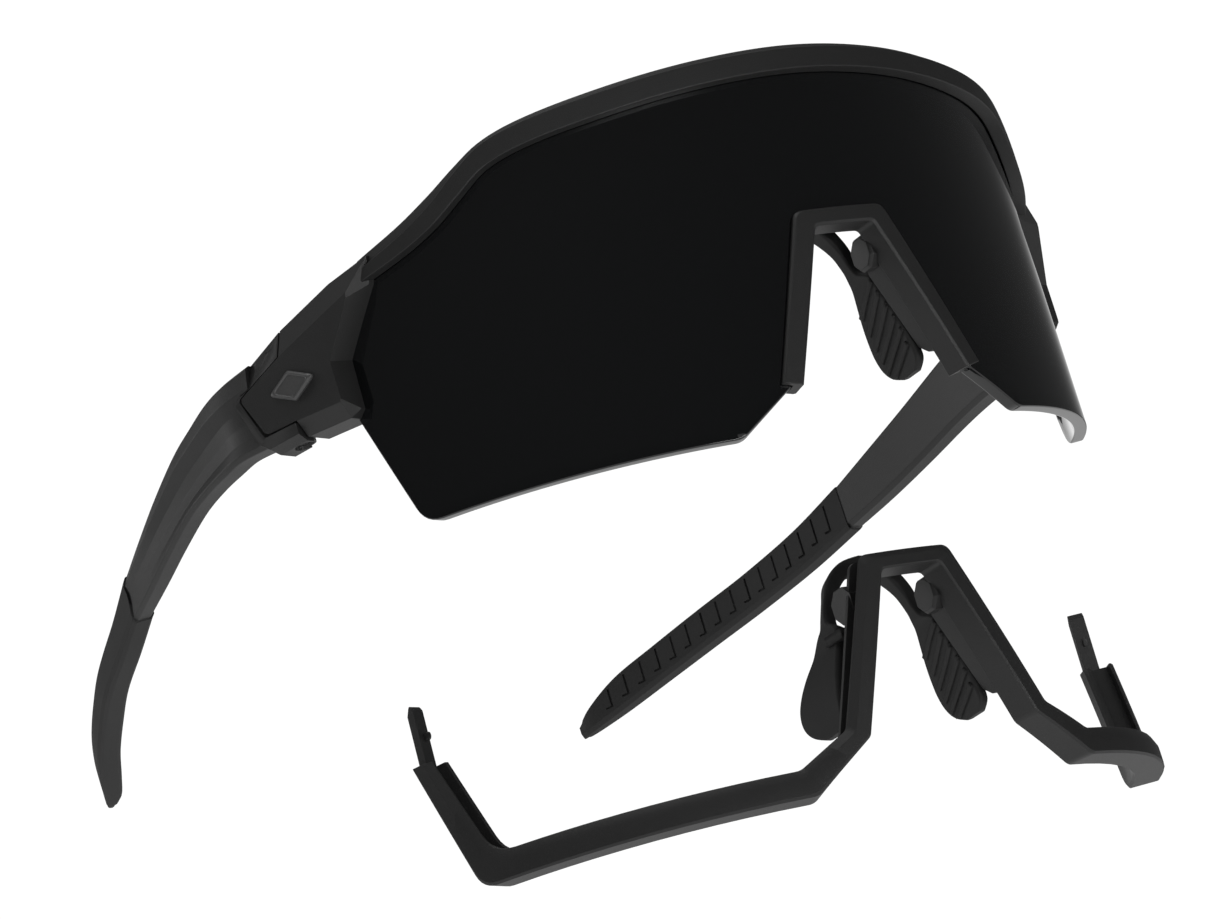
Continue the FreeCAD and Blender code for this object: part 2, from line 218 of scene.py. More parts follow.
@dataclass(frozen=True)
class SoftRubber:
    """Moulded rubber: darker and duller than the frame, with a dusty bloom."""

    name: str = "soft_rubber"
    shade: float = 0.016
    roughness: float = 0.62

    def build(self) -> bpy.types.Material:
        """Makes the material."""
        shader = Shader(self.name)
        grain = shader.noise(7600.0, 3.0, 0.65)
        bloom = shader.noise(140.0, 3.0)
        shader.set(
            Base_Color=shader.blend(bloom, grey(self.shade * 0.8), grey(self.shade * 1.3)),
            Roughness=bloom * 0.14 + (self.roughness - 0.07),
            Normal=shader.bump(grain, 0.00002),
            Specular_IOR_Level=0.42,
        )
        return shader.material


@dataclass(frozen=True)
class MirrorLens:
    """Near-black polycarbonate with a hard glossy coat."""

    name: str = "shield_lens_gloss"
    shade: float = 0.003

    def build(self) -> bpy.types.Material:
        """Makes the material."""
        shader = Shader(self.name)
        ripple = shader.noise(26.0, 1.0)
        shader.set(
            Base_Color=shader.blend(ripple, grey(self.shade, -0.12), grey(self.shade * 1.25, -0.15)),
            Roughness=ripple * 0.02 + 0.05,
            Coat_Weight=0.6,
            Coat_Roughness=0.03,
            Specular_IOR_Level=0.5,
        )
        return shader.material


@dataclass(frozen=True)
class SatinBadge:
    """The lighter satin inlay on each endpiece."""

    name: str = "satin_badge"

    def build(self) -> bpy.types.Material:
        """Makes the material."""
        shader = Shader(self.name)
        grain = shader.noise(3600.0, 2.0)
        shader.set(
            Base_Color=shader.blend(grain, grey(0.09), grey(0.12)),
            Roughness=grain * 0.1 + 0.33,
            Metallic=0.35,
            Normal=shader.bump(grain, 0.00001),
        )
        return shader.material


@dataclass(frozen=True)
class PlainMetal:
    """Turned metal of the screws and threaded inserts."""

    name: str
    colour: Colour
    roughness: float

    def build(self) -> bpy.types.Material:
        """Makes the material."""
        shader = Shader(self.name)
        turning = shader.noise(2400.0, 1.0)
        dark = tuple(channel * 0.8 for channel in self.colour[:3]) + (1.0,)
        shader.set(
            Base_Color=shader.blend(turning, dark, self.colour),
            Roughness=turning * 0.12 + (self.roughness - 0.06),
            Metallic=1.0,
        )
        return shader.material


@dataclass(frozen=True)
class LitCutEdge:
    """The lens's polished cut edge, given a pale grey colour as painted light: it stands for the light that
    the edge carries.
    """

    name: str = "lens_cut_edge"

    def build(self) -> bpy.types.Material:
        """Makes the material."""
        shader = Shader(self.name)
        haze = shader.noise(400.0, 1.0)
        shader.set(
            # painted highlight: the pale grey stands for light carried along the cut edge
            Base_Color=shader.blend(haze, grey(0.5), grey(0.62)),
            Roughness=haze * 0.1 + 0.2,
            Specular_IOR_Level=0.5,
        )
        return shader.material


class Finish(Enum):
    """The finishes that the sunglasses are made in."""

    PLASTIC = "frame_plastic"
    RUBBER = "rubber"
    LENS = "lens"
    BADGE = "badge"
    STEEL = "screw_steel"
    BRASS = "brass"


class Paintbox:
    """Holds one built material for each finish."""

    def __init__(self) -> None:
        """Builds every finish once."""
        self.materials = {
            Finish.PLASTIC: MouldedPlastic().build(),
            Finish.RUBBER: SoftRubber().build(),
            Finish.LENS: MirrorLens().build(),
            Finish.BADGE: SatinBadge().build(),
            Finish.STEEL: PlainMetal("blackened_steel", grey(0.12), 0.38).build(),
            Finish.BRASS: PlainMetal("turned_brass", (0.55, 0.4, 0.16, 1.0), 0.35).build(),
        }
        # the lens edge's pale colour is painted light, not a clear finish
        self.lit_cut_edge = LitCutEdge().build()

    def dress(self, piece: bpy.types.Object, finish: Finish) -> None:
        """Gives a piece one finish.

        Args:
            piece: The mesh to dress.
            finish: The finish that it gets.
        """
        piece.data.materials.clear()
        piece.data.materials.append(self.materials[finish])


# ---------------------------------------------------------------- mesh tools

SIDES = ("left", "right")


def mesh_piece(name: str, shape: bmesh.types.BMesh) -> bpy.types.Object:
    """Turns a finished bmesh into an object at the origin."""
    mesh = bpy.data.meshes.new(name)
    shape.to_mesh(mesh)
    shape.free()
    piece = bpy.data.objects.new(name, mesh)
    bpy.context.scene.collection.objects.link(piece)
    return piece


def apply_modifiers(piece: bpy.types.Object) -> None:
    """Bakes a piece's modifiers into its mesh."""
    graph = bpy.context.evaluated_depsgraph_get()
    graph.update()
    mesh = bpy.data.meshes.new_from_object(piece.evaluated_get(graph))
    piece.modifiers.clear()
    piece.data = mesh


def shade(piece: bpy.types.Object) -> None:
    """Shades a piece smoothly, with its large faces kept flat."""
    for polygon in piece.data.polygons:
        polygon.use_smooth = True
    weighting = piece.modifiers.new("weighting", "WEIGHTED_NORMAL")
    weighting.weight = 80
    apply_modifiers(piece)


def soften(piece: bpy.types.Object, width: float, angle: float, segments: int) -> None:
    """Rounds the sharp edges of a piece and shades it.

    Args:
        piece: The mesh to round.
        width: The rounding's width in metres.
        angle: Edges sharper than this many degrees are rounded.
        segments: How many faces go round each edge.
    """
    bevel = piece.modifiers.new("rounding", "BEVEL")
    bevel.width = width
    bevel.segments = segments
    bevel.limit_method = "ANGLE"
    bevel.angle_limit = math.radians(angle)
    bevel.use_clamp_overlap = True
    apply_modifiers(piece)
    shade(piece)


def combine(piece: bpy.types.Object, shape: bmesh.types.BMesh, operation: str) -> None:
    """Joins a piece with a solid or cuts the solid out of it."""
    tool = mesh_piece("tool", shape)
    step = piece.modifiers.new("combining", "BOOLEAN")
    step.operation = operation
    step.object = tool
    step.solver = "EXACT"
    bpy.context.view_layer.update()
    apply_modifiers(piece)
    bpy.data.objects.remove(tool)


def carve(piece: bpy.types.Object, shape: bmesh.types.BMesh) -> None:
    """Cuts a solid out of a piece."""
    combine(piece, shape, "DIFFERENCE")


def merge(piece: bpy.types.Object, shape: bmesh.types.BMesh) -> None:
    """Joins a solid to a piece."""
    combine(piece, shape, "UNION")


def united(solids: list[bmesh.types.BMesh]) -> bmesh.types.BMesh:
    """Several overlapping solids fused into one, with no seams across their shared flat faces."""
    piece = mesh_piece("fused", solids[0])
    for solid in solids[1:]:
        merge(piece, solid)
    whole = bmesh.new()
    whole.from_mesh(piece.data)
    bpy.data.objects.remove(piece)
    bmesh.ops.remove_doubles(whole, verts=whole.verts, dist=0.004 * MM)
    bmesh.ops.dissolve_limit(whole, angle_limit=math.radians(1.0), verts=whole.verts, edges=whole.edges)
    return whole


def copied(node: str, name: str) -> bpy.types.Object:
    """A welded copy of a CAD node, with its flat faces joined up."""
    shape = bmesh.new()
    shape.from_mesh(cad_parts[node].data)
    bmesh.ops.remove_doubles(shape, verts=shape.verts, dist=0.002 * MM)
    bmesh.ops.dissolve_limit(shape, angle_limit=math.radians(1.2), verts=shape.verts, edges=shape.edges)
    return mesh_piece(name, shape)


def settle(piece: bpy.types.Object, body: str, *nodes: str) -> None:
    """Rides a finished piece on its body, in the place of the design's nodes."""
    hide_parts(*nodes)
    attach(piece, body)
    LOG.info("%s: %d faces", piece.name, len(piece.data.polygons))


# ---------------------------------------------------------------- sections and outlines

def arc_corner(before: Vector, corner: Vector, after: Vector, radius: float, steps: int) -> list[Vector]:
    """Rounds one corner of a run of points.

    Args:
        before: The point before the corner.
        corner: The corner.
        after: The point after the corner.
        radius: The radius of the rounding; 0 keeps the corner sharp.
        steps: How many points the rounding has, less one.

    Returns:
        The points that take the corner's place, always steps + 1 of them.
    """
    inward, outward = (before - corner), (after - corner)
    reach = min(inward.length, outward.length) * 0.48
    half = inward.angle(outward, math.pi) / 2
    if radius <= 0 or half > math.radians(89.5):
        return [corner.copy() for _ in range(steps + 1)]
    cut = min(radius / math.tan(half), reach)
    start, end = corner + inward.normalized() * cut, corner + outward.normalized() * cut
    points = []
    for step in range(steps + 1):
        share = step / steps
        first, second = start.lerp(corner, share), corner.lerp(end, share)
        points.append(first.lerp(second, share))
    return points


def rounded_ring(corners: list[tuple[float, ...]], radius: float, steps: int = 3) -> list[Vector]:
    """A closed run of points with every corner rounded alike."""
    points = [Vector(corner) for corner in corners]
    ring: list[Vector] = []
    for place, corner in enumerate(points):
        ring += arc_corner(points[place - 1], corner, points[(place + 1) % len(points)], radius, steps)
    return ring


def spread(points: list[Vector], longest: float) -> list[Vector]:
    """The same open run with no gap longer than a limit."""
    run = [points[0]]
    for start, end in zip(points, points[1:]):
        pieces = max(1, math.ceil((end - start).length / longest))
        run += [start.lerp(end, piece / pieces) for piece in range(1, pieces + 1)]
    return run


def curve_through(points: list[tuple[float, ...]], between: int) -> list[Vector]:
    """A smooth run through points of any dimension, with Catmull-Rom spans."""
    knots = [tuple(point) for point in points]
    knots = [knots[0]] + knots + [knots[-1]]
    run: list[tuple[float, ...]] = []
    for place in range(1, len(knots) - 2):
        window = knots[place - 1:place + 3]
        for step in range(between):
            share = step / between
            run.append(tuple(spline_value(values, share) for values in zip(*window)))
    run.append(knots[-2])
    return [list(values) for values in run]


def spline_value(values: tuple[float, ...], share: float) -> float:
    """One number on a Catmull-Rom span between the second and third of four values."""
    before, start, end, after = values
    return hermite(start, end, (end - before) / 2, (after - start) / 2, share)


def hermite(start: float, end: float, slope_in: float, slope_out: float, share: float) -> float:
    """A cubic between two numbers with a slope at each end."""
    return ((2 * share ** 3 - 3 * share ** 2 + 1) * start + (share ** 3 - 2 * share ** 2 + share) * slope_in
            + (-2 * share ** 3 + 3 * share ** 2) * end + (share ** 3 - share ** 2) * slope_out)


# ---------------------------------------------------------------- places

SHIELD_RADIUS = 63.4


def on_shield(turn: float, height: float, radius: float) -> Vector:
    """A point round the shield's axis, its turn in degrees from the middle."""
    angle = math.radians(turn)
    return Vector((radius * math.sin(angle), SHIELD_RADIUS - radius * math.cos(angle), height)) * MM


def turn_at(across: float) -> float:
    """The turn in degrees at which the shield is some way from the middle plane."""
    return math.degrees(math.asin(across / SHIELD_RADIUS))


SIDE_TURN = math.radians(23.6)
SIDE_START = Vector((62.7, 39.0, 0.0))
SIDE_ALONG = Vector((math.sin(SIDE_TURN), math.cos(SIDE_TURN), 0.0))
SIDE_OUT = Vector((math.cos(SIDE_TURN), -math.sin(SIDE_TURN), 0.0))


def on_side(along: float, height: float, depth: float) -> Vector:
    """A point on or behind the wearer's left side face."""
    return (SIDE_START + SIDE_ALONG * along - SIDE_OUT * depth + Vector((0, 0, height))) * MM


def circle_on_side(centre: Point, radius: float, height: float, step: int) -> list[Vector]:
    """A level ring round an upright axis whose place is along and behind the side face."""
    along, depth = centre
    return [on_side(along + radius * math.cos(math.radians(turn)), height,
                    depth + radius * math.sin(math.radians(turn))) for turn in range(0, 360, step)]


# ---------------------------------------------------------------- solids

def loft(shape: bmesh.types.BMesh, rings: list[list[Vector]], closed: bool = False) -> None:
    """Skins rings of equal count, with flat ends unless the last ring meets the first.

    Args:
        shape: The mesh that gets the faces.
        rings: The rings, each going the same way round.
        closed: Whether the last ring joins the first.
    """
    rows = [[shape.verts.new(point) for point in ring] for ring in rings]
    if closed:
        rows.append(rows[0])
    for first, second in zip(rows, rows[1:]):
        count = len(first)
        for place in range(count):
            after = (place + 1) % count
            shape.faces.new((first[place], first[after], second[after], second[place]))
    if not closed:
        shape.faces.new(rows[0][::-1])
        shape.faces.new(rows[-1])


def tidy(shape: bmesh.types.BMesh) -> bmesh.types.BMesh:
    """Merges doubled points, drops slivers and turns every face outwards."""
    bmesh.ops.remove_doubles(shape, verts=shape.verts, dist=0.004 * MM)
    bmesh.ops.dissolve_degenerate(shape, edges=shape.edges, dist=0.003 * MM)
    bmesh.ops.recalc_face_normals(shape, faces=shape.faces)
    return shape


def mirrored(shape: bmesh.types.BMesh) -> bmesh.types.BMesh:
    """The same shape on the wearer's other side."""
    twin = shape.copy()
    for vert in twin.verts:
        vert.co.x = -vert.co.x
    bmesh.ops.recalc_face_normals(twin, faces=twin.faces)
    return twin


def joined(shapes: list[bmesh.types.BMesh]) -> bmesh.types.BMesh:
    """Several shapes as one."""
    whole = bmesh.new()
    for shape in shapes:
        mesh = bpy.data.meshes.new("part")
        shape.to_mesh(mesh)
        whole.from_mesh(mesh)
        bpy.data.meshes.remove(mesh)
    return whole


def moved(shape: bmesh.types.BMesh, shift: Vector) -> bmesh.types.BMesh:
    """A copy of a shape somewhere else."""
    twin = shape.copy()
    bmesh.ops.translate(twin, verts=twin.verts, vec=shift)
    return twin


def prism(rings: list[list[Place]], place: Callable[..., Vector]) -> bmesh.types.BMesh:
    """A flat-faced block.

    Args:
        rings: Rings of equal count, in the numbers that place takes.
        place: Turns a ring's numbers into a point.

    Returns:
        The closed block.
    """
    shape = bmesh.new()
    loft(shape, [[place(*corner) for corner in ring] for ring in rings])
    return tidy(shape)


# ---------------------------------------------------------------- the shield lens

BROW_LOW = ((0, 20.7), (14, 20.2), (28, 19.1), (38, 18.1), (43, 16.8), (47, 14.2), (51, 11.6), (56, 9.6),
            (63, 8.0))


def height_on(curve: tuple[Point, ...], turn: float) -> float:
    """The height of a smooth curve over turn at one turn."""
    place = abs(turn)
    knots = list(curve)
    for index in range(len(knots) - 1):
        if place <= knots[index + 1][0]:
            break
    before = knots[index - 1] if index else (-knots[1][0], knots[1][1])
    after = knots[index + 2] if index + 2 < len(knots) else knots[-1]
    start, end = knots[index], knots[index + 1]
    span = end[0] - start[0]
    share = (place - start[0]) / span
    slope_in = (end[1] - before[1]) / (end[0] - before[0]) * span
    slope_out = (after[1] - start[1]) / max(after[0] - start[0], span) * span
    return hermite(start[1], end[1], slope_in, slope_out, share)


@dataclass
class ShieldLens:
    """The one-piece wrap lens: a bent sheet with a nose notch and polished edges."""

    paint: Paintbox
    inner: float = 61.4
    outer: float = 63.4
    edge: float = 0.22
    grid: float = 1.7
    top_rise: float = 1.5
    corner_radius: float = 4.2
    notch: tuple[Point, ...] = ((6.2, -1.1), (15.4, -24.8), (23.7, -30.5))
    corner: Point = (64.3, -27.1)
    side: tuple[Point, ...] = ((69.7, -8.6), (69.0, -0.8), (63.5, 9.2))

    def outline(self) -> list[Vector]:
        """The lens's edge, laid flat: distance round the shield and height."""
        def flat(turn: float, height: float) -> Vector:
            """Lays one place flat."""
            return Vector((math.radians(turn) * SHIELD_RADIUS, height))

        corners = [flat(turn_at(across), height) for across, height in self.notch]
        corners += [flat(*self.corner)] + [flat(*place) for place in self.side]
        radii = (1.2, 1.0, 3.0, self.corner_radius, 3.0, 1.0, 0.0)
        half = [Vector((0.0, self.notch[0][1]))]
        for place, (point, radius) in enumerate(zip(corners, radii)):
            before = corners[place - 1] if place else half[0]
            after = corners[place + 1] if place + 1 < len(corners) else point
            half += arc_corner(before, point, after, radius, 6) if radius and after != point else [point]
        half = spread(half, self.grid)
        top = [flat(turn, height_on(BROW_LOW, turn) + self.top_rise) for turn in range(62, 0, -2)]
        half += top + [flat(0, height_on(BROW_LOW, 0) + self.top_rise)]
        other = [Vector((-point.x, point.y)) for point in reversed(half[1:-1])]
        return half + other

    def inset(self, ring: list[Vector], amount: float) -> list[Vector]:
        """The same ring drawn in by some amount."""
        moved_in = []
        for place, point in enumerate(ring):
            before, after = ring[place - 1], ring[(place + 1) % len(ring)]
            first, second = (point - before).normalized(), (after - point).normalized()
            normal_one, normal_two = Vector((-first.y, first.x)), Vector((-second.y, second.x))
            mitre = (normal_one + normal_two) / (1 + normal_one.dot(normal_two))
            moved_in.append(point + mitre * amount)
        return moved_in

    def inside_points(self, ring: list[Vector]) -> list[Vector]:
        """An even grid of places within the ring and clear of its edge."""
        starts = np.array([tuple(point) for point in ring])
        ends = np.roll(starts, -1, axis=0)
        across = np.arange(-76.0, 76.1, self.grid)
        up = np.arange(-31.0, 23.0, self.grid)
        places = np.array([(x, z) for x in across for z in up])
        spans = ends - starts
        gaps = places[:, None, :] - starts[None, :, :]
        shares = np.clip((gaps * spans).sum(-1) / (spans ** 2).sum(-1), 0, 1)
        clear = np.linalg.norm(gaps - shares[..., None] * spans, axis=-1).min(1) > self.grid * 0.55
        below = starts[None, :, 1] <= places[:, None, 1]
        crosses = below != (ends[None, :, 1] <= places[:, None, 1])
        rise = np.where(ends[:, 1] == starts[:, 1], 1, ends[:, 1] - starts[:, 1])
        meets = starts[:, 0] + (places[:, None, 1] - starts[:, 1]) / rise * spans[:, 0]
        inside = (crosses & (meets > places[:, None, 0])).sum(1) % 2 == 1
        return [Vector(place) for place in places[clear & inside]]

    def face(self, shape: bmesh.types.BMesh, verts: list[bmesh.types.BMVert], ring: list[Vector],
             radius: float) -> None:
        """Fills one side of the sheet with small triangles that follow its bend."""
        inside = self.inside_points(ring)
        count = len(ring)
        result = delaunay_2d_cdt(ring + inside, [], [list(range(count))], 1, 1e-6)
        places, triangles, sources = result[0], result[2], result[3]
        known = []
        for place, source in zip(places, sources):
            rim = [index for index in source if index < count]
            if rim:
                known.append(verts[rim[0]])
            else:
                turn = math.degrees(place.x / SHIELD_RADIUS)
                known.append(shape.verts.new(on_shield(turn, place.y, radius)))
        for triangle in triangles:
            corners = {known[index] for index in triangle}
            if len(corners) == 3:
                shape.faces.new([known[index] for index in triangle])

    def build(self) -> None:
        """Makes the sheet and gives its cut edge the pale painted-light colour."""
        outline = self.outline()
        steps = ((self.edge, self.outer), (self.edge * 0.3, self.outer - self.edge * 0.3),
                 (0.0, self.outer - self.edge), (0.0, self.inner + self.edge),
                 (self.edge * 0.3, self.inner + self.edge * 0.3), (self.edge, self.inner))
        shape = bmesh.new()
        rows = []
        for amount, radius in steps:
            ring = self.inset(outline, amount)
            rows.append([shape.verts.new(on_shield(math.degrees(point.x / SHIELD_RADIUS), point.y, radius))
                         for point in ring])
        for first, second in zip(rows, rows[1:]):
            for place in range(len(first)):
                after = (place + 1) % len(first)
                face = shape.faces.new((first[place], first[after], second[after], second[place]))
                face.material_index = 1
        self.face(shape, rows[0], self.inset(outline, self.edge), self.outer)
        self.face(shape, rows[-1], self.inset(outline, self.edge), self.inner)
        bmesh.ops.recalc_face_normals(shape, faces=shape.faces)
        piece = mesh_piece("shield_lens_finished", shape)
        shade(piece)
        self.paint.dress(piece, Finish.LENS)
        piece.data.materials.append(self.paint.lit_cut_edge)
        settle(piece, "front", "shield_lens")


# ---------------------------------------------------------------- the front moulding

@dataclass
class FrontFrame:
    """Brow, endpieces, tongues and hinge knuckles, in one moulding."""

    paint: Paintbox
    back_radius: float = 59.4
    face_radius: float = 65.6
    lip_rise: float = 3.1
    narrowing: float = 0.095
    shoulder: float = 47.0
    back_top: tuple[Point, ...] = ((0, 24.8), (14, 24.3), (28, 23.2), (38, 22.1), (43, 20.8), (47, 18.6),
                                   (51, 16.2), (56, 13.8), (63, 11.5))
    last_turn: float = 62.6
    knuckle: Point = (10.2, 3.2)
    knuckle_radius: float = 1.7
    knuckle_span: Point = (-6.0, 1.6)
    bore: float = 0.95

    def section(self, turn: float) -> list[Vector]:
        """The brow's cross-section at one turn: radius and height."""
        low = height_on(BROW_LOW, turn)
        top = height_on(self.back_top, turn)
        lip = low + self.lip_rise - self.narrowing * max(0.0, abs(turn) - self.shoulder)
        face, back = self.face_radius, self.back_radius
        corners = [(63.5, low), (face, low), (face, lip), (face - 0.75, lip + 0.35), (face - 1.3, top),
                   (back, top - 0.4), (back, low + 0.3), (61.25, low), (61.25, low + 1.95),
                   (63.5, low + 1.95)]
        return rounded_ring(corners, 0.22, 2)

    def brow(self) -> bmesh.types.BMesh:
        """The band over the lens from one side to the other."""
        shape = bmesh.new()
        turns = [self.last_turn * step / 70 for step in range(-70, 71)]
        loft(shape, [[on_shield(turn, point.y, point.x) for point in self.section(turn)] for turn in turns])
        return tidy(shape)

    def block(self) -> bmesh.types.BMesh:
        """The endpiece: the flat side face, its sloped top, its lower facet and the front ridge."""
        outer = [(-5.7, 7.2, 0.0), (-2.0, 6.2, 0.0), (8.1, 3.3, 0.0), (8.1, -6.4, 0.0), (0.2, -6.8, 0.0),
                 (0.0, -6.4, 0.0), (0.0, -0.8, 0.0), (-5.6, 6.5, 0.0)]
        middle = [(-9.3, 11.5, 2.3), (-2.0, 10.2, 2.0), (8.1, 7.4, 2.2), (8.1, -8.7, 1.7), (0.3, -9.1, 1.7),
                  (-0.9, -8.0, 3.0), (-1.1, -0.8, 3.2), (-8.0, 7.8, 3.0)]
        inner = [(along, height, 6.5) for along, height, _ in middle]
        return prism([outer, middle, inner], on_side)

    def tongue(self) -> bmesh.types.BMesh:
        """The plate that lies in the temple's recess."""
        outline = [(7.1, 3.6), (8.1, 3.3), (16.1, 0.2), (16.25, -0.4), (13.9, -5.9), (13.3, -6.25),
                   (7.1, -6.3)]
        ring = [tuple(point) for point in rounded_ring(outline, 0.5, 3)]
        return prism([[(*point, depth) for point in ring] for depth in (0.0, 1.7)], on_side)

    def web(self) -> bmesh.types.BMesh:
        """The wall that carries the knuckle."""
        low, high = self.knuckle_span
        reach = self.knuckle[0] - 0.9
        outline = [(7.1, low), (reach, low), (reach, high), (7.1, high)]
        return prism([[(*point, depth) for point in outline] for depth in (0.9, 4.9)], on_side)

    def eye(self) -> bmesh.types.BMesh:
        """The round knuckle with its bore."""
        low, high = self.knuckle_span
        walls = ((self.knuckle_radius, low), (self.knuckle_radius, high), (self.bore, high), (self.bore, low))
        shape = bmesh.new()
        rings = [circle_on_side(self.knuckle, radius, height, 10) for radius, height in walls]
        loft(shape, rings, closed=True)
        return tidy(shape)

    def build(self) -> None:
        """Joins both sides to the brow."""
        side = joined([united([self.block(), self.tongue(), self.web()]), self.eye()])
        piece = mesh_piece("front_frame_finished", joined([self.brow(), side, mirrored(side)]))
        soften(piece, 0.16 * MM, 20.0, 2)
        self.paint.dress(piece, Finish.PLASTIC)
        settle(piece, "front", "front_frame")


@dataclass
class Badge:
    """A plain raised lozenge with a sloped rim on each endpiece."""

    paint: Paintbox
    along: float = 7.1
    height: float = -1.5
    half_long: float = 4.2
    half_short: float = 2.3
    rise: float = 0.7

    def ring(self, share: float, depth: float) -> list[Vector]:
        """One lozenge ring, as a share of the full size, at a depth."""
        tips = [(self.half_long * share, 0.0), (0.0, self.half_short * share),
                (-self.half_long * share, 0.0), (0.0, -self.half_short * share)]
        return [on_side(self.along + point.x, self.height + point.y, depth)
                for point in rounded_ring(tips, 0.5, 4)]

    def build(self) -> None:
        """Makes the left badge and its mirror image."""
        shape = bmesh.new()
        loft(shape, [self.ring(1.0, 0.3), self.ring(1.0, -self.rise * 0.55), self.ring(0.88, -self.rise),
                     self.ring(0.8, -self.rise), self.ring(0.74, -self.rise * 0.72)])
        tidy(shape)
        for side, solid in (("left", shape.copy()), ("right", mirrored(shape))):
            piece = mesh_piece(f"badge_{side}_finished", solid)
            soften(piece, 0.06 * MM, 20.0, 2)
            self.paint.dress(piece, Finish.BADGE)
            settle(piece, "front", f"badge_{side}")


# ---------------------------------------------------------------- the temples

@dataclass
class TempleSection:
    """One cross-section of a temple in millimetres."""

    x: float
    y: float
    turn: float
    top: float
    bottom: float
    depth: float
    scoop: float

    def ring(self, plump: float = 0.0, vee: float = 0.0) -> list[Vector]:
        """The section's ring of points.

        Args:
            plump: How far it is swollen beyond its sizes.
            vee: How far its middle is set back along the arm.

        Returns:
            The points in metres.
        """
        tall = self.top - self.bottom
        deep = self.depth
        profile = [(deep, self.top - 0.2), (1.7, self.top), (0.75, self.top - 0.05 * tall),
                   (0.0, self.top - 0.27 * tall), (self.scoop * 0.75, self.top - 0.45 * tall),
                   (self.scoop, self.top - 0.62 * tall), (self.scoop * 0.7, self.top - 0.8 * tall),
                   (0.15, self.bottom + 0.06 * tall), (0.7, self.bottom), (deep - 0.6, self.bottom + 0.15),
                   (deep, self.bottom + 0.8)]
        centre = Vector((deep / 2, (self.top + self.bottom) / 2))
        angle = math.radians(self.turn)
        out = Vector((math.cos(angle), -math.sin(angle), 0.0))
        back = Vector((math.sin(angle), math.cos(angle), 0.0))
        points = []
        for point in rounded_ring(profile, min(0.35, 0.16 * tall), 3):
            away = point - centre
            swollen = point + away.normalized() * plump
            level = 1 - abs(2 * (point.y - self.bottom) / tall - 1)
            place = Vector((self.x, self.y, 0)) - out * swollen.x + back * vee * level
            points.append((place + Vector((0, 0, swollen.y))) * MM)
        return points


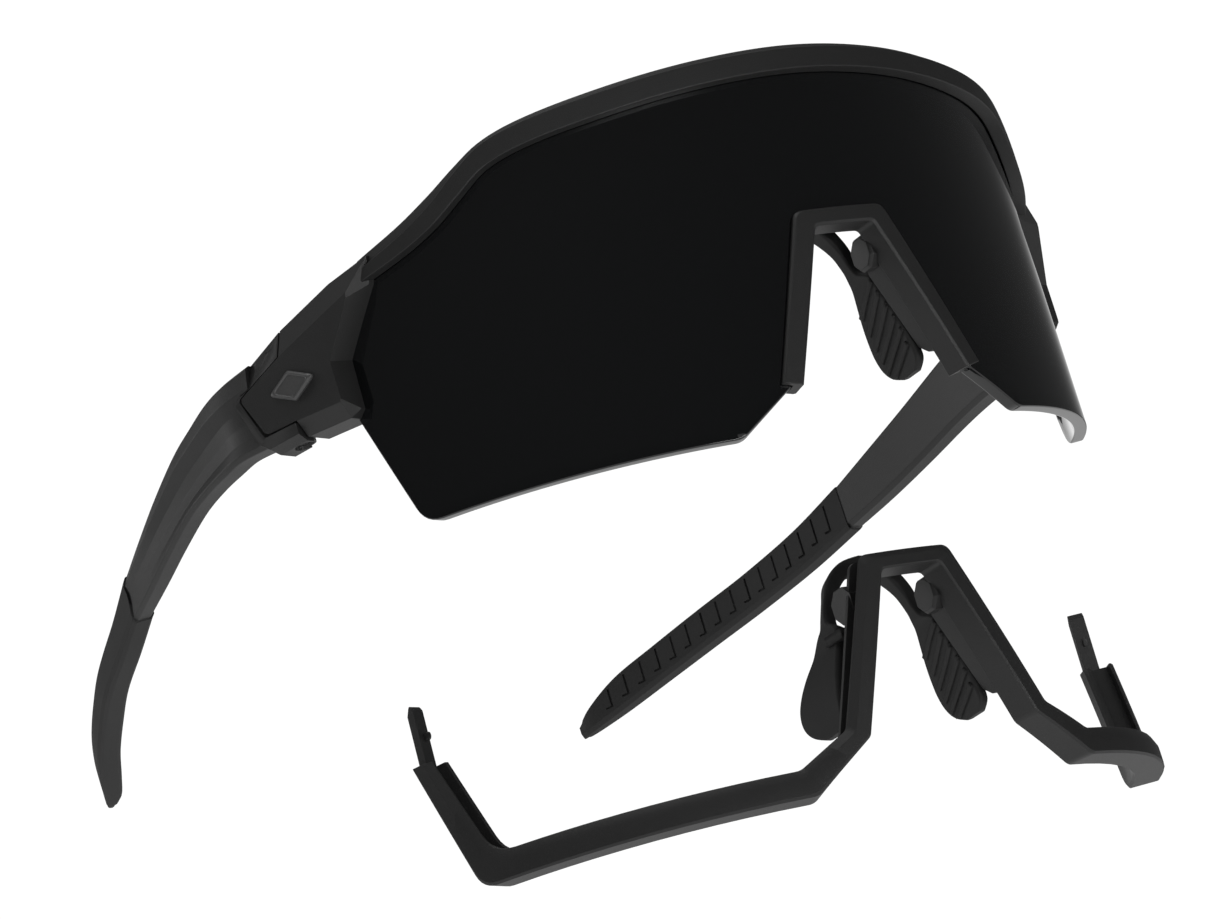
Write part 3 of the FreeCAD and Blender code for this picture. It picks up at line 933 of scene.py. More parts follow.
@dataclass
class Temples:
    """Both temple arms with their rubber sleeves."""

    paint: Paintbox
    head_end: float = 14.6
    head_section: Row = (4.8, -7.9, 5.0, 1.0)
    hinge: Point = (10.2, 3.2)
    shaft: tuple[Row, ...] = (
        (70.1, 58.0, 8, 4.2, -7.7, 4.7, 0.9), (70.4, 63.0, 0, 3.6, -8.0, 4.4, 1.3),
        (70.2, 69.0, -3, 2.4, -8.3, 4.1, 1.5), (69.8, 76.0, -4, 0.9, -9.1, 3.9, 1.4),
        (68.7, 86.0, -7, -1.8, -11.0, 3.7, 0.9), (67.2, 96.0, -9, -4.6, -12.9, 3.5, 0.35),
        (65.7, 105.0, -10, -7.2, -14.3, 3.3, 0.1))
    sleeve: tuple[Row, ...] = (
        (65.8, 105.25, -11, -7.2, -14.4, 3.5, 0.05), (63.3, 116.0, -14, -10.2, -16.6, 3.6, 0.02),
        (60.2, 128.0, -18, -12.5, -18.5, 3.6, 0.02), (56.7, 138.0, -21, -14.3, -20.2, 3.6, 0.02),
        (52.8, 148.0, -24, -16.4, -22.1, 3.5, 0.02), (49.0, 156.0, -27, -18.5, -23.9, 3.3, 0.02),
        (45.8, 161.6, -30, -21.4, -25.1, 2.6, 0.02), (44.3, 164.2, -32, -23.6, -25.4, 1.6, 0.02))

    def shaft_solid(self) -> bmesh.types.BMesh:
        """The long scooped part of the arm."""
        start = on_side(self.head_end, 0, 0) / MM
        first = (start.x, start.y, math.degrees(SIDE_TURN), *self.head_section)
        rows = curve_through([first, *self.shaft], 7)
        shape = bmesh.new()
        loft(shape, [TempleSection(*row).ring() for row in rows])
        return tidy(shape)

    def head_block(self) -> bmesh.types.BMesh:
        """The border that frames the tongue, before its recess is cut."""
        outer = [(8.4, 3.2, 0.0), (17.2, -0.25, 0.0), (17.35, -0.9, 0.0), (15.2, -7.2, 0.0),
                 (13.8, -8.4, 0.0), (8.4, -8.2, 0.0)]
        middle = [(8.4, 7.3, 2.2), (17.2, 3.6, 2.2), (17.35, -0.9, 2.2), (15.2, -7.2, 2.2), (13.4, -9.3, 1.6),
                  (8.4, -9.1, 1.6)]
        inner = [(along, height, 5.0) for along, height, _ in middle]
        return prism([outer, middle, inner], on_side)

    def recess(self) -> bmesh.types.BMesh:
        """The room that the tongue and the knuckle lie in."""
        outline = [(0.0, 3.5), (8.1, 3.5), (16.75, 0.25), (14.15, -6.55), (0.0, -6.55)]
        ring = [tuple(point) for point in rounded_ring(outline, 0.7, 3)]
        return prism([[(*point, depth) for point in ring] for depth in (-1.0, 7.0)], on_side)

    def upright(self, radius: float, low: float, high: float) -> bmesh.types.BMesh:
        """A cylinder on the hinge axis."""
        shape = bmesh.new()
        loft(shape, [circle_on_side(self.hinge, radius, height, 12) for height in (low, high)])
        return tidy(shape)

    def front_room(self) -> bmesh.types.BMesh:
        """The room in front of the hinge that lets the temple fold."""
        outline = [(5.4, -12.0), (10.2, -12.0), (10.2, 12.0), (5.4, 12.0)]
        return prism([[(*point, depth) for point in outline] for depth in (3.2, 6.5)], on_side)

    def arm(self) -> bpy.types.Object:
        """The whole left arm, with its recess, screw pocket and folding room cut."""
        head = mesh_piece("arm_head", self.head_block())
        carve(head, self.front_room())
        merge(head, self.upright(1.8, -8.9, 5.3))
        merge(head, self.shaft_solid())
        carve(head, self.recess())
        carve(head, self.upright(1.5, -12.0, -7.6))
        return head

    def sleeve_solid(self) -> bmesh.types.BMesh:
        """The rubber end of the left arm, a little proud of the arm at a vee-shaped seam."""
        rows = curve_through(list(self.sleeve), 8)
        shape = bmesh.new()
        rings = []
        for place, row in enumerate(rows):
            vee = 1.4 if place == 0 else 0.0
            rings.append(TempleSection(*row).ring(0.12 if place < len(rows) - 4 else 0.0, -vee))
        loft(shape, rings)
        return tidy(shape)

    def build(self) -> None:
        """Makes both arms and both sleeves."""
        arm = self.arm()
        bare_arm = bmesh.new()
        bare_arm.from_mesh(arm.data)
        bpy.data.objects.remove(arm)
        sleeve = mesh_piece("sleeve_blank", self.sleeve_solid())
        grooves = SleeveGrooves().cutter(self.sleeve)
        carve(sleeve, grooves)
        grooved = bmesh.new()
        grooved.from_mesh(sleeve.data)
        bpy.data.objects.remove(sleeve)
        for side in SIDES:
            for stem, source, finish, width in (("temple_arm", bare_arm, Finish.PLASTIC, 0.16),
                                                ("temple_sleeve", grooved, Finish.RUBBER, 0.1)):
                solid = source.copy() if side == "left" else mirrored(source)
                piece = mesh_piece(f"{stem}_{side}_finished", solid)
                soften(piece, width * MM, 30.0, 2)
                self.paint.dress(piece, finish)
                settle(piece, f"temple_{side}", f"{stem}_{side}")


@dataclass
class SleeveGrooves:
    """The row of hooked grooves on each sleeve's inner face, laid out by a node tree."""

    count: int = 16
    first: float = 108.5
    last: float = 157.5
    width: float = 0.42
    depth: float = 0.38
    hook: float = 1.3

    def cutter(self, sections: tuple[Row, ...]) -> bmesh.types.BMesh:
        """The solid that the grooves are cut with.

        Args:
            sections: The sleeve's cross-sections from front to back.

        Returns:
            One closed hooked bar for each groove.
        """
        path = bpy.data.meshes.new("sleeve_path")
        rows = [self.at(sections, self.first + (self.last - self.first) * step / (self.count - 1))
                for step in range(self.count)]
        path.from_pydata([row[0] for row in rows], [], [])
        for name, kind, column in (("turn", "FLOAT", 1), ("tall", "FLOAT", 2)):
            attribute = path.attributes.new(name, kind, "POINT")
            for place, row in enumerate(rows):
                attribute.data[place].value = row[column]
        piece = bpy.data.objects.new("sleeve_grooves", path)
        bpy.context.scene.collection.objects.link(piece)
        tree = NodeTree("sleeve_groove_row", {"Width": self.width * MM, "Depth": self.depth * MM * 2})
        turn = tree.attribute("turn")
        tall = tree.attribute("tall")
        pattern = self.hooked_bar()
        source = tree.node("GeometryNodeObjectInfo")
        source.inputs["Object"].default_value = pattern
        placed = tree.node("GeometryNodeInstanceOnPoints", {}, {
            "Points": tree.geometry, "Instance": source.outputs["Geometry"],
            "Scale": tree.vector(tree.inputs["Depth"], tree.inputs["Width"], tall),
            "Rotation": tree.vector(0.0, 0.0, turn)})
        tree.finish([placed.outputs["Instances"]], None)
        mesh = tree.result(piece)
        shape = bmesh.new()
        shape.from_mesh(mesh)
        bmesh.ops.recalc_face_normals(shape, faces=shape.faces)
        bpy.data.objects.remove(piece)
        bpy.data.objects.remove(pattern)
        return shape

    def hooked_bar(self) -> bpy.types.Object:
        """One groove as a closed bar with a foot, one unit wide, deep and tall."""
        foot = self.hook / self.width
        outline = [(-0.5, 0.5), (-0.5, -0.5), (foot, -0.5), (foot, -0.41), (0.5, -0.41), (0.5, 0.5)]
        shape = bmesh.new()
        loft(shape, [[Vector((depth, along, height)) for along, height in outline] for depth in (-0.5, 0.5)])
        bmesh.ops.recalc_face_normals(shape, faces=shape.faces)
        return mesh_piece("hooked_bar", shape)

    def at(self, sections: tuple[Row, ...], back: float) -> tuple[Vector, float, float]:
        """Where the sleeve's inner face is at a distance back: its middle, turn and groove height."""
        for first, second in zip(sections, sections[1:]):
            if first[1] <= back <= second[1]:
                share = (back - first[1]) / (second[1] - first[1])
                x, y, turn, top, bottom, deep, _ = (a + (b - a) * share for a, b in zip(first, second))
                angle = math.radians(turn)
                inner = Vector((x - math.cos(angle) * (deep + 0.1), y + math.sin(angle) * (deep + 0.1),
                                (top + bottom) / 2 + 0.35))
                return inner * MM, -angle, (top - bottom) * 0.62 * MM
        raise ValueError("the groove lies beyond the sleeve")


# ---------------------------------------------------------------- node trees

class NodeTree:
    """A geometry node tree with named number inputs, run once on one object."""

    def __init__(self, name: str, sizes: dict[str, float]) -> None:
        """Starts a tree.

        Args:
            name: The tree's name.
            sizes: Its named number inputs with their values.
        """
        self.tree = bpy.data.node_groups.new(name, "GeometryNodeTree")
        face = self.tree.interface
        face.new_socket("Geometry", in_out="INPUT", socket_type="NodeSocketGeometry")
        face.new_socket("Geometry", in_out="OUTPUT", socket_type="NodeSocketGeometry")
        self.sizes = sizes
        self.identifiers = {}
        for size_name, value in sizes.items():
            socket = face.new_socket(size_name, in_out="INPUT", socket_type="NodeSocketFloat")
            socket.default_value = value
            self.identifiers[size_name] = socket.identifier
        group_in = self.tree.nodes.new("NodeGroupInput")
        self.inputs = {size_name: group_in.outputs[size_name] for size_name in sizes}
        self.geometry = group_in.outputs["Geometry"]

    def node(self, kind: str, settings: dict[str, object] | None = None,
             inputs: dict[str | int, object] | None = None) -> bpy.types.Node:
        """Adds any node.

        Args:
            kind: The node's type name.
            settings: Its own properties, set first.
            inputs: Values or links for its sockets, by name or place.

        Returns:
            The new node.
        """
        node = self.tree.nodes.new(kind)
        for name, value in (settings or {}).items():
            setattr(node, name, value)
        for name, value in (inputs or {}).items():
            if isinstance(value, bpy.types.NodeSocket):
                self.tree.links.new(value, node.inputs[name])
            else:
                node.inputs[name].default_value = value
        return node

    def maths(self, operation: str, first: object, second: object) -> bpy.types.NodeSocket:
        """One step of arithmetic."""
        return self.node("ShaderNodeMath", {"operation": operation}, {0: first, 1: second}).outputs[0]

    def vector(self, x: object, y: object, z: object) -> bpy.types.NodeSocket:
        """A vector from three numbers or sockets."""
        return self.node("ShaderNodeCombineXYZ", {}, {"X": x, "Y": y, "Z": z}).outputs[0]

    def attribute(self, name: str) -> bpy.types.NodeSocket:
        """A stored number of each point."""
        node = self.node("GeometryNodeInputNamedAttribute", {"data_type": "FLOAT"}, {"Name": name})
        return node.outputs["Attribute"]

    def finish(self, parts: list[bpy.types.NodeSocket], material: bpy.types.Material | None) -> None:
        """Joins the parts, realizes them, sets their material and ends the tree."""
        join = self.node("GeometryNodeJoinGeometry")
        for part in parts:
            self.tree.links.new(part, join.inputs[0])
        real = self.node("GeometryNodeRealizeInstances", {}, {"Geometry": join.outputs[0]})
        dressed = self.node("GeometryNodeSetMaterial", {}, {"Geometry": real.outputs[0]})
        dressed.inputs["Material"].default_value = material
        group_out = self.tree.nodes.new("NodeGroupOutput")
        self.tree.links.new(dressed.outputs[0], group_out.inputs["Geometry"])

    def result(self, piece: bpy.types.Object) -> bpy.types.Mesh:
        """Runs the tree on an object and returns the plain mesh that it gives."""
        modifier = piece.modifiers.new("layout", "NODES")
        modifier.node_group = self.tree
        for name, identifier in self.identifiers.items():
            modifier[identifier] = self.sizes[name]
        graph = bpy.context.evaluated_depsgraph_get()
        graph.update()
        mesh = bpy.data.meshes.new_from_object(piece.evaluated_get(graph))
        piece.modifiers.clear()
        return mesh


# ---------------------------------------------------------------- the nose piece and the lower rim

@dataclass
class Channel:
    """A run of channel moulding that grips the lens's edge, along two flat paths."""

    inner: list[Vector]
    outer: list[Vector]
    section: list[tuple[float, float]]

    def solid(self) -> bmesh.types.BMesh:
        """Sweeps the section along both paths.

        Returns:
            The closed moulding. A section's first number runs from 0 on the outer path to 1 on the inner
            one and its second is the radius round the shield's axis.
        """
        shape = bmesh.new()
        rings = []
        for near, far in zip(self.inner, self.outer):
            ring = []
            for share, radius in self.section:
                place = far.lerp(near, share)
                ring.append(on_shield(math.degrees(place.x / SHIELD_RADIUS), place.y, radius))
            rings.append(ring)
        loft(shape, rings)
        return tidy(shape)


def flat_run(half: list[Point], radii: list[float], parts: int) -> list[Vector]:
    """A path over both sides from its right-hand half, laid flat, with rounded corners.

    Args:
        half: Turn and height of each corner from the middle to the right-hand end.
        radii: The rounding at each corner.
        parts: How many even parts each straight run is cut into, so that two paths stay in step.

    Returns:
        The path from the left end to the right end.
    """
    corners = [Vector((math.radians(turn) * SHIELD_RADIUS, height)) for turn, height in half]
    mirror = [Vector((-corner.x, corner.y)) for corner in reversed(corners)]
    points = mirror + corners
    sizes = list(reversed(radii)) + list(radii)
    run: list[Vector] = [points[0]]
    for place in range(1, len(points) - 1):
        turned = arc_corner(points[place - 1], points[place], points[place + 1], sizes[place], 6)
        run += [run[-1].lerp(turned[0], piece / parts) for piece in range(1, parts)]
        run += turned
    run += [run[-1].lerp(points[-1], piece / parts) for piece in range(1, parts + 1)]
    return run


@dataclass
class NoseBridge:
    """The upside-down vee over the nose, with its bosses and pad walls."""

    outer_corners: tuple[Point, ...] = ((7.4, 0.1), (16.7, -24.2))
    inner_corners: tuple[Point, ...] = ((4.8, -2.5), (13.8, -25.0))
    front: float = 64.4
    back: float = 60.25
    boss_place: tuple[float, float, float] = (5.2, 4.9, -5.3)
    boss_radius: float = 2.7
    boss_length: float = 3.6
    wall_high: float = -6.9
    wall_low: float = -20.6
    wall_front: float = 2.4
    wall_back: float = 6.9

    def inner_x(self, height: float) -> float:
        """How far the leg's inner face is from the middle plane at a height."""
        (top_x, top), (low_x, low) = self.inner_corners
        return top_x + (low_x - top_x) * (height - top) / (low - top)

    def boss(self) -> bmesh.types.BMesh:
        """The eight-sided boss that the saddle hooks over."""
        x, y, z = self.boss_place
        rings = []
        for share, offset in ((0.86, 0.0), (1.0, 0.45), (1.0, self.boss_length)):
            ring = []
            for step in range(8):
                angle = math.radians(45 * step + 22.5)
                reach = self.boss_radius * share
                corner = Vector((x + offset, y + reach * math.cos(angle), z + reach * math.sin(angle)))
                ring.append(corner * MM)
            rings.append(ring)
        shape = bmesh.new()
        loft(shape, rings)
        return tidy(shape)

    def wall(self) -> bmesh.types.BMesh:
        """The thin wall behind a leg that backs the pad's front edge."""
        outline = [(self.wall_front, self.wall_high), (self.wall_back, self.wall_high - 0.6),
                   (self.wall_back, self.wall_low + 1.2), (self.wall_back - 1.2, self.wall_low),
                   (self.wall_front, self.wall_low - 0.4)]
        rings = [[Vector((self.inner_x(point.y) + offset, point.x, point.y)) * MM
                  for point in rounded_ring(outline, 0.5, 3)] for offset in (0.05, 1.15)]
        shape = bmesh.new()
        loft(shape, rings)
        return tidy(shape)

    def fittings(self) -> list[bmesh.types.BMesh]:
        """The boss and wall of both legs."""
        side = joined([self.boss(), self.wall()])
        return [side, mirrored(side)]

    def section(self) -> list[tuple[float, float]]:
        """The channel's cross-section: share of the band's width and radius."""
        front, back = self.front, self.back
        corners = [(0.0, 63.47), (0.0, front - 0.35), (0.12, front), (0.86, front), (1.0, front - 0.3),
                   (1.0, back + 0.3), (0.88, back), (0.1, back), (0.0, back + 0.3), (0.0, 61.33),
                   (0.56, 61.33), (0.56, 63.47)]
        return corners

    def legs(self) -> bmesh.types.BMesh:
        """The bracket's bent band."""
        outer = [(turn_at(x), z) for x, z in self.outer_corners]
        inner = [(turn_at(x), z) for x, z in self.inner_corners]
        return Channel(flat_run(inner, [1.1, 0.0], 8), flat_run(outer, [1.8, 0.0], 8), self.section()).solid()


@dataclass
class NoseSaddle:
    """The soft saddle: an arch over the nose that widens into two ribbed pads."""

    paint: Paintbox
    rear_share: float = 0.62
    splay: float = 0.10
    stations: tuple[Row, ...] = (
        (0.0, 0.9, 9.2, 12.6, 2.5), (2.5, 0.4, 9.4, 12.9, 2.5), (4.3, -0.9, 9.7, 13.0, 2.4),
        (5.6, -3.0, 9.7, 12.4, 2.3), (6.6, -5.2, 9.9, 12.4, 2.1), (7.2, -6.8, 9.2, 12.7, 1.9),
        (7.8, -8.0, 7.2, 13.3, 1.8), (8.5, -10.3, 7.1, 14.5, 1.7), (9.4, -12.5, 7.1, 16.0, 1.7),
        (10.2, -14.7, 7.1, 17.1, 1.7), (10.8, -16.9, 7.1, 17.6, 1.7), (11.2, -19.1, 7.1, 17.1, 1.7),
        (11.4, -20.8, 7.3, 15.5, 1.6), (11.5, -22.0, 8.8, 12.8, 1.4))
    ribs: int = 6

    def ring(self, row: list[float], across: Vector) -> list[Vector]:
        """One cross-section: a rounded oblong between the skin face and the outer face."""
        x, z, front, back, thick = row
        deep = back - front
        corners = [(0.0, 0.0), (0.0, deep), (thick * self.rear_share, deep - 0.25), (thick, 0.25)]
        points = []
        for corner in rounded_ring(corners, min(0.62, deep * 0.2), 4):
            place = Vector((x, 0, z)) + across * corner.x
            place.y = front + corner.y
            place.x += math.copysign(self.splay, x) * (place.y - 11.0) * min(1.0, abs(x) / 8.0) if x else 0.0
            points.append(place * MM)
        return points

    def body(self) -> bmesh.types.BMesh:
        """The arch and both pads as one band."""
        half = curve_through(list(self.stations), 5)
        rows = [[-row[0], *row[1:]] for row in reversed(half[1:])] + half
        shape = bmesh.new()
        rings = []
        for place, row in enumerate(rows):
            before, after = rows[max(place - 1, 0)], rows[min(place + 1, len(rows) - 1)]
            along = Vector((after[0] - before[0], 0, after[1] - before[1])).normalized()
            across = Vector((-along.z, 0, along.x))
            rings.append(self.ring(row, across))
        loft(shape, rings)
        return tidy(shape)

    def hook(self) -> bmesh.types.BMesh:
        """The lip that holds the saddle behind a boss."""
        shape = bmesh.new()
        ring = rounded_ring([(8.55, 5.4), (10.0, 5.4), (10.2, 9.6), (8.55, 9.6)], 0.3, 2)
        loft(shape, [[Vector((point.x, point.y, height)) * MM for point in ring] for height in (-9.6, -8.2)])
        return tidy(shape)

    def ribbing(self, band: bpy.types.Object) -> bpy.types.Mesh:
        """The raised ribs on the left pad's skin face, laid on it by a node tree.

        Args:
            band: The saddle's band, which the ribs lie on.

        Returns:
            The six ribs.
        """
        tree = NodeTree("pad_ribs", {"Width": 0.75 * MM, "Rise": 0.3 * MM, "Sink": 0.3 * MM,
                                     "Longest": 10.5 * MM, "Shortening": 0.38 * MM})
        index = tree.node("GeometryNodeInputIndex").outputs[0]
        row = tree.node("GeometryNodeMeshLine", {"mode": "END_POINTS"}, {
            "Count": self.ribs, "Start Location": Vector((0.0, 10.9, -10.1)) * MM,
            "Offset": Vector((0.0, 11.6, -19.8)) * MM})
        away = tree.maths("SUBTRACT", index, 2.45)
        shorter = tree.maths("MULTIPLY", tree.inputs["Shortening"], tree.maths("MULTIPLY", away, away))
        length = tree.maths("SUBTRACT", tree.inputs["Longest"], shorter)
        bar = tree.node("GeometryNodeMeshGrid", {}, {"Size X": 1.0, "Size Y": 1.0, "Vertices X": 26,
                                                     "Vertices Y": 4})
        turned = tree.node("GeometryNodeTransform", {}, {
            "Geometry": bar.outputs["Mesh"], "Rotation": (math.radians(90), 0.0, math.radians(90))})
        placed = tree.node("GeometryNodeInstanceOnPoints", {}, {
            "Points": row.outputs["Mesh"], "Instance": turned.outputs["Geometry"],
            "Rotation": (math.radians(-24), 0.0, 0.0),
            "Scale": tree.vector(1.0, length, tree.inputs["Width"])})
        real = tree.node("GeometryNodeRealizeInstances", {}, {"Geometry": placed.outputs["Instances"]})
        info = tree.node("GeometryNodeObjectInfo")
        info.inputs["Object"].default_value = band
        hit = tree.node("GeometryNodeRaycast", {"data_type": "FLOAT"}, {
            "Target Geometry": info.outputs["Geometry"], "Ray Direction": (1.0, 0.0, 0.0), "Ray Length": 1.0})
        lifted = tree.node("ShaderNodeVectorMath", {"operation": "SUBTRACT"}, {
            0: hit.outputs["Hit Position"], 1: tree.vector(tree.inputs["Rise"], 0.0, 0.0)})
        laid = tree.node("GeometryNodeSetPosition", {}, {
            "Geometry": real.outputs["Geometry"], "Selection": hit.outputs["Is Hit"],
            "Position": lifted.outputs["Vector"]})
        missed = tree.node("GeometryNodeDeleteGeometry", {"domain": "POINT"}, {
            "Geometry": laid.outputs["Geometry"],
            "Selection": tree.node("FunctionNodeBooleanMath", {"operation": "NOT"}, {
                0: hit.outputs["Is Hit"]}).outputs[0]})
        thick = tree.node("GeometryNodeExtrudeMesh", {"mode": "FACES"}, {
            "Mesh": missed.outputs["Geometry"], "Offset": (1.0, 0.0, 0.0),
            "Offset Scale": tree.maths("ADD", tree.inputs["Rise"], tree.inputs["Sink"]), "Individual": False})
        both = [thick.outputs["Mesh"], missed.outputs["Geometry"]]
        tree.finish(both, self.paint.materials[Finish.RUBBER])
        seed = bpy.data.objects.new("pad_rib_seed", bpy.data.meshes.new("pad_rib_seed"))
        bpy.context.scene.collection.objects.link(seed)
        mesh = tree.result(seed)
        bpy.data.objects.remove(seed)
        return mesh

    def solid(self) -> bmesh.types.BMesh:
        """The whole saddle."""
        band = mesh_piece("saddle_band", self.body())
        bpy.context.view_layer.update()
        ribs = bmesh.new()
        ribs.from_mesh(self.ribbing(band))
        bmesh.ops.remove_doubles(ribs, verts=ribs.verts, dist=0.002 * MM)
        bmesh.ops.recalc_face_normals(ribs, faces=ribs.faces)
        bpy.data.objects.remove(band)
        hook = self.hook()
        return joined([self.body(), hook, mirrored(hook), ribs, mirrored(ribs)])


@dataclass
class NoseClip:
    """The nose bracket with its saddle."""

    paint: Paintbox
    bridge: NoseBridge = field(default_factory=NoseBridge)

    def build(self) -> None:
        """Makes the bracket and the saddle on it."""
        bracket = mesh_piece("nose_bracket_finished", joined([self.bridge.legs(), *self.bridge.fittings()]))
        soften(bracket, 0.16 * MM, 26.0, 2)
        self.paint.dress(bracket, Finish.PLASTIC)
        settle(bracket, "nose_clip", "nose_bracket")
        saddle = mesh_piece("nose_saddle_finished", NoseSaddle(self.paint).solid())
        shade(saddle)
        self.paint.dress(saddle, Finish.RUBBER)
        settle(saddle, "nose_clip", "nose_saddle")


@dataclass
class LowerRim:
    """The loose rim: a channel for the lens's lower edge that carries its own bridge and saddle."""

    paint: Paintbox
    bridge: NoseBridge = field(default_factory=NoseBridge)
    drop: tuple[float, float, float] = (0.0, 9.9, -47.8)
    over: float = 2.8
    below: float = 1.4
    front: float = 65.1
    back: float = 60.25
    rail_top: float = -9.6
    rail_outer: float = 70.0
    rail_inner: float = 67.1
    peg_radius: float = 0.6
    peg_turns: Point = (69.3, 67.9)
    peg_height: float = -5.4

    def section(self) -> list[tuple[float, float]]:
        """The channel's cross-section, with a sloped upper strip on its front lip."""
        front, back = self.front, self.back
        return [(0.0, back + 0.3), (0.0, front - 0.3), (0.08, front), (0.62, front), (0.97, front - 0.6),
                (1.0, front - 0.85), (0.97, 64.2), (0.40, 64.2), (0.40, 61.3), (0.97, 61.3),
                (1.0, back + 0.4), (0.9, back), (0.1, back)]

    def channel(self) -> bmesh.types.BMesh:
        """The whole run from one rail to the other."""
        bridge = self.bridge
        on_lens = [(turn_at(bridge.outer_corners[0][0]), bridge.outer_corners[0][1]),
                   (turn_at(16.9), -23.9), (turn_at(24.2), -30.7 + self.over),
                   (62.2, -28.0 + self.over), (self.rail_inner, self.rail_top)]
        beyond = [(turn_at(bridge.inner_corners[0][0]), bridge.inner_corners[0][1]),
                  (turn_at(13.9), -25.6), (turn_at(22.9), -30.7 - self.below),
                  (64.9, -28.0 - self.below), (self.rail_outer, self.rail_top)]
        return Channel(flat_run(on_lens, [1.8, 1.5, 2.5, 5.0, 0.0], 10),
                       flat_run(beyond, [1.1, 1.5, 2.5, 3.4, 0.0], 10), self.section()).solid()

    def tab(self) -> bmesh.types.BMesh:
        """The thin tongue above a rail, with its snap peg."""
        outline = [(68.9, -10.6), (70.0, -10.6), (69.6, -2.0), (68.9, -0.5), (68.5, -1.4)]
        rings = [[on_shield(point.x, point.y, radius) for point in rounded_ring(outline, 0.2, 2)]
                 for radius in (60.9, 63.2)]
        shape = bmesh.new()
        loft(shape, rings)
        peg_rings = []
        for turn in self.peg_turns:
            centre = on_shield(turn, self.peg_height, 62.0)
            peg_rings.append([centre + Vector((0.0, self.peg_radius * math.cos(math.radians(angle)),
                                               self.peg_radius * math.sin(math.radians(angle)))) * MM
                              for angle in range(0, 360, 20)])
        loft(shape, peg_rings)
        return tidy(shape)

    def build(self) -> None:
        """Makes the rim and its saddle, hung below the rest."""
        shift = Vector(self.drop) * MM
        tab = self.tab()
        whole = joined([self.channel(), *self.bridge.fittings(), tab, mirrored(tab)])
        rim = mesh_piece("lower_rim_finished", moved(whole, shift))
        soften(rim, 0.16 * MM, 26.0, 2)
        self.paint.dress(rim, Finish.PLASTIC)
        settle(rim, "rim", "lower_rim")
        saddle = mesh_piece("rim_nose_saddle_finished", moved(NoseSaddle(self.paint).solid(), shift))
        shade(saddle)
        self.paint.dress(saddle, Finish.RUBBER)
        settle(saddle, "rim", "rim_nose_saddle")


@dataclass
class HingeHardware:
    """The hinge screws and the threaded inserts, kept from the design and given rounded edges."""

    paint: Paintbox

    def build(self) -> None:
        """Rounds and dresses each screw and insert."""
        for side in SIDES:
            for stem, finish in (("hinge_screw", Finish.STEEL), ("hinge_nut", Finish.BRASS)):
                node = f"{stem}_{side}"
                piece = copied(node, f"{node}_finished")
                soften(piece, 0.06 * MM, 28.0, 2)
                self.paint.dress(piece, finish)
                settle(piece, f"temple_{side}", node)


# ---------------------------------------------------------------- studio

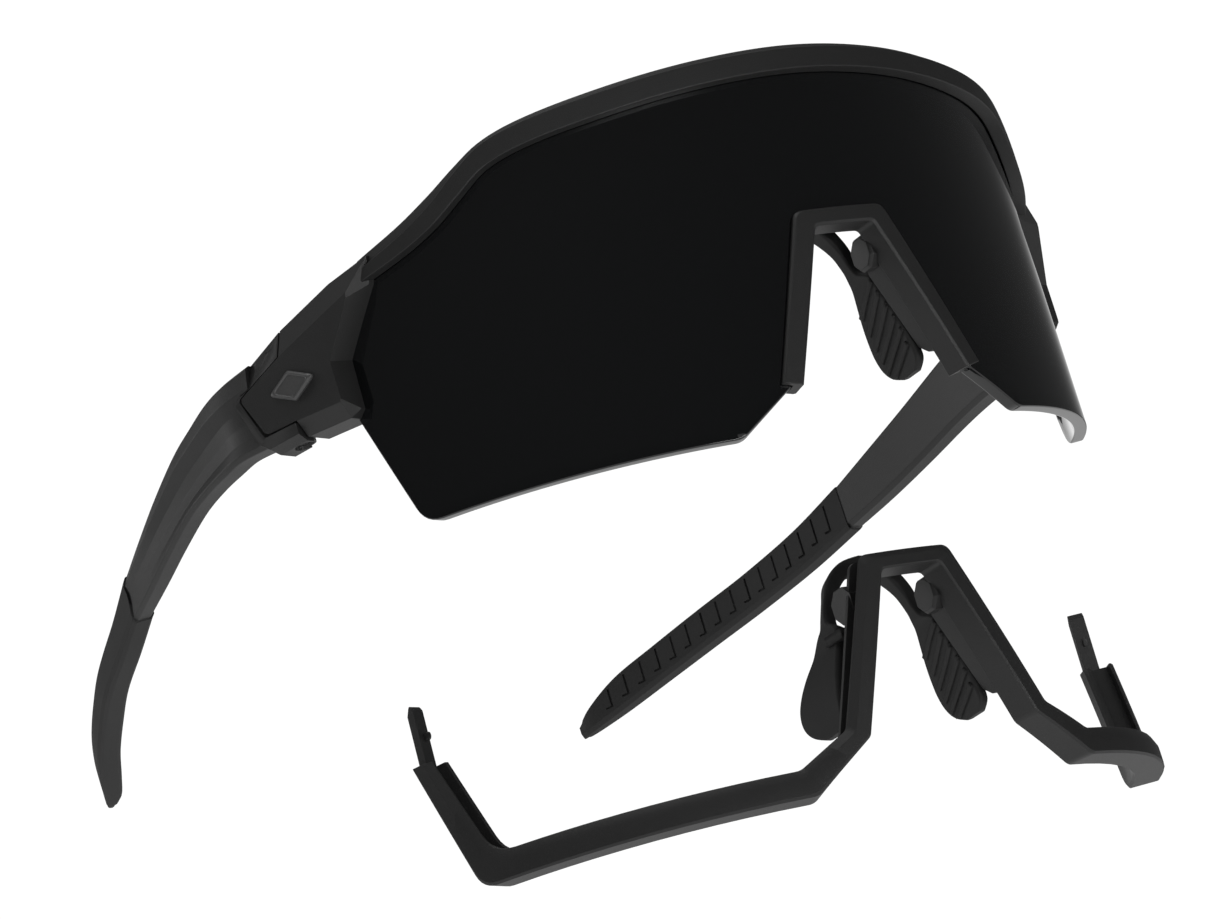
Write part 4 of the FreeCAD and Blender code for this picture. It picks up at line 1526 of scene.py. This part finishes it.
@dataclass
class Studio:
    """The pale floor, the soft lights and the camera."""

    camera_place: Vector = field(default_factory=lambda: Vector((-0.567104, -0.746840, -0.277580)))
    azimuth: float = 34.7119
    elevation: float = 15.0892
    roll: float = -17.0117
    lens: float = 207.578
    floor_height: float = -0.42
    floor_glow: float = 0.3
    dimness: float = 0.06
    sky: float = 0.35
    glow: float = 1.0
    bounce: float = 0.1

    def floor(self) -> None:
        """A wide pale floor well below the glasses."""
        shape = bmesh.new()
        bmesh.ops.create_grid(shape, x_segments=2, y_segments=2, size=6.0)
        bmesh.ops.translate(shape, verts=shape.verts, vec=(0, 0, self.floor_height))
        piece = mesh_piece("studio_floor", shape)
        shader = Shader("pale_floor")
        shader.set(Base_Color=grey(0.85), Roughness=0.9, Emission_Color=grey(1.0),
                   Emission_Strength=self.floor_glow)
        piece.data.materials.append(shader.material)

    def world(self) -> None:
        """A dim surround that brightens softly towards one side, and plain white behind the glasses."""
        world = bpy.data.worlds.new("surround")
        bpy.context.scene.world = world
        world.use_nodes = True
        tree = world.node_tree

        ray = tree.nodes.new("ShaderNodeTexCoord")

        def towards(direction: Place, sharpness: float) -> Value:
            """How nearly a ray goes in one direction, from 0 to 1."""
            product = tree.nodes.new("ShaderNodeVectorMath")
            product.operation = "DOT_PRODUCT"
            tree.links.new(ray.outputs["Generated"], product.inputs[0])
            product.inputs[1].default_value = Vector(direction).normalized()
            return Value(tree, product.outputs["Value"]).at_least(0.0).raised(sharpness)

        level = (towards((-0.1, -0.1, 1.0), 3.0) * self.sky
                 + towards((0.46, 0.86, 0.22), 24.0) * self.glow
                 + towards((0.1, -0.45, -1.0), 3.0) * self.bounce + self.dimness)
        background = tree.nodes["Background"]
        background.inputs["Color"].default_value = (1, 1, 1, 1)
        tree.links.new(level.socket, background.inputs["Strength"])
        seen = tree.nodes.new("ShaderNodeBackground")
        seen.inputs["Color"].default_value = (1, 1, 1, 1)
        seen.inputs["Strength"].default_value = 1.05
        path = tree.nodes.new("ShaderNodeLightPath")
        mix = tree.nodes.new("ShaderNodeMixShader")
        tree.links.new(path.outputs["Is Camera Ray"], mix.inputs[0])
        tree.links.new(background.outputs[0], mix.inputs[1])
        tree.links.new(seen.outputs[0], mix.inputs[2])
        tree.links.new(mix.outputs[0], tree.nodes["World Output"].inputs["Surface"])
        bpy.context.scene.view_settings.view_transform = "Standard"

    def light(self, name: str, place: Vector, aim: Vector, width: float, power: float) -> None:
        """Adds one square soft light.

        Args:
            name: The light's name.
            place: Where it stands.
            aim: The point it faces.
            width: The side of its square in metres.
            power: Its power in watts.
        """
        data = bpy.data.lights.new(name, "AREA")
        data.shape = "SQUARE"
        data.size = width
        data.energy = power
        lamp = bpy.data.objects.new(name, data)
        lamp.location = place
        lamp.rotation_euler = (aim - place).to_track_quat("-Z", "Y").to_euler()
        bpy.context.scene.collection.objects.link(lamp)

    def lights(self) -> None:
        """A weak top light, one behind the wearer's right and a strong one low in front."""
        centre = Vector((0.0, 0.04, -0.02))
        self.light("top_softbox", Vector((-0.35, -0.25, 1.3)), centre, 0.9, 4.0)
        self.light("rear_softbox", Vector((-0.9, 1.2, 0.45)), centre, 0.8, 3.0)
        self.light("low_softbox", Vector((-0.15, -1.3, -0.62)), centre, 0.7, 20.0)

    def camera(self) -> None:
        """A long lens low on the wearer's right, rolled so that the brow rises to the right."""
        data = bpy.data.cameras.new("product_camera")
        data.sensor_width = 36.0
        data.lens = self.lens
        data.clip_start = 0.05
        data.clip_end = 30.0
        camera = bpy.data.objects.new("product_camera", data)
        turn = Matrix.Rotation(math.radians(-self.azimuth), 4, "Z")
        lift = Matrix.Rotation(math.radians(90 + self.elevation), 4, "X")
        roll = Matrix.Rotation(math.radians(self.roll), 4, "Z")
        camera.matrix_world = Matrix.Translation(self.camera_place) @ turn @ lift @ roll
        bpy.context.scene.collection.objects.link(camera)
        bpy.context.scene.camera = camera

    def build(self) -> None:
        """Sets the whole studio."""
        self.floor()
        self.world()
        self.lights()
        self.camera()


def main() -> None:
    """Builds every piece in order and reports it."""
    logging.basicConfig(level=logging.INFO, format="%(name)s: %(message)s")
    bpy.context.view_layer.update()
    paint = Paintbox()
    ShieldLens(paint).build()
    FrontFrame(paint).build()
    Badge(paint).build()
    Temples(paint).build()
    NoseClip(paint).build()
    LowerRim(paint).build()
    HingeHardware(paint).build()
    Studio().build()


if __name__ == "__main__":
    main()
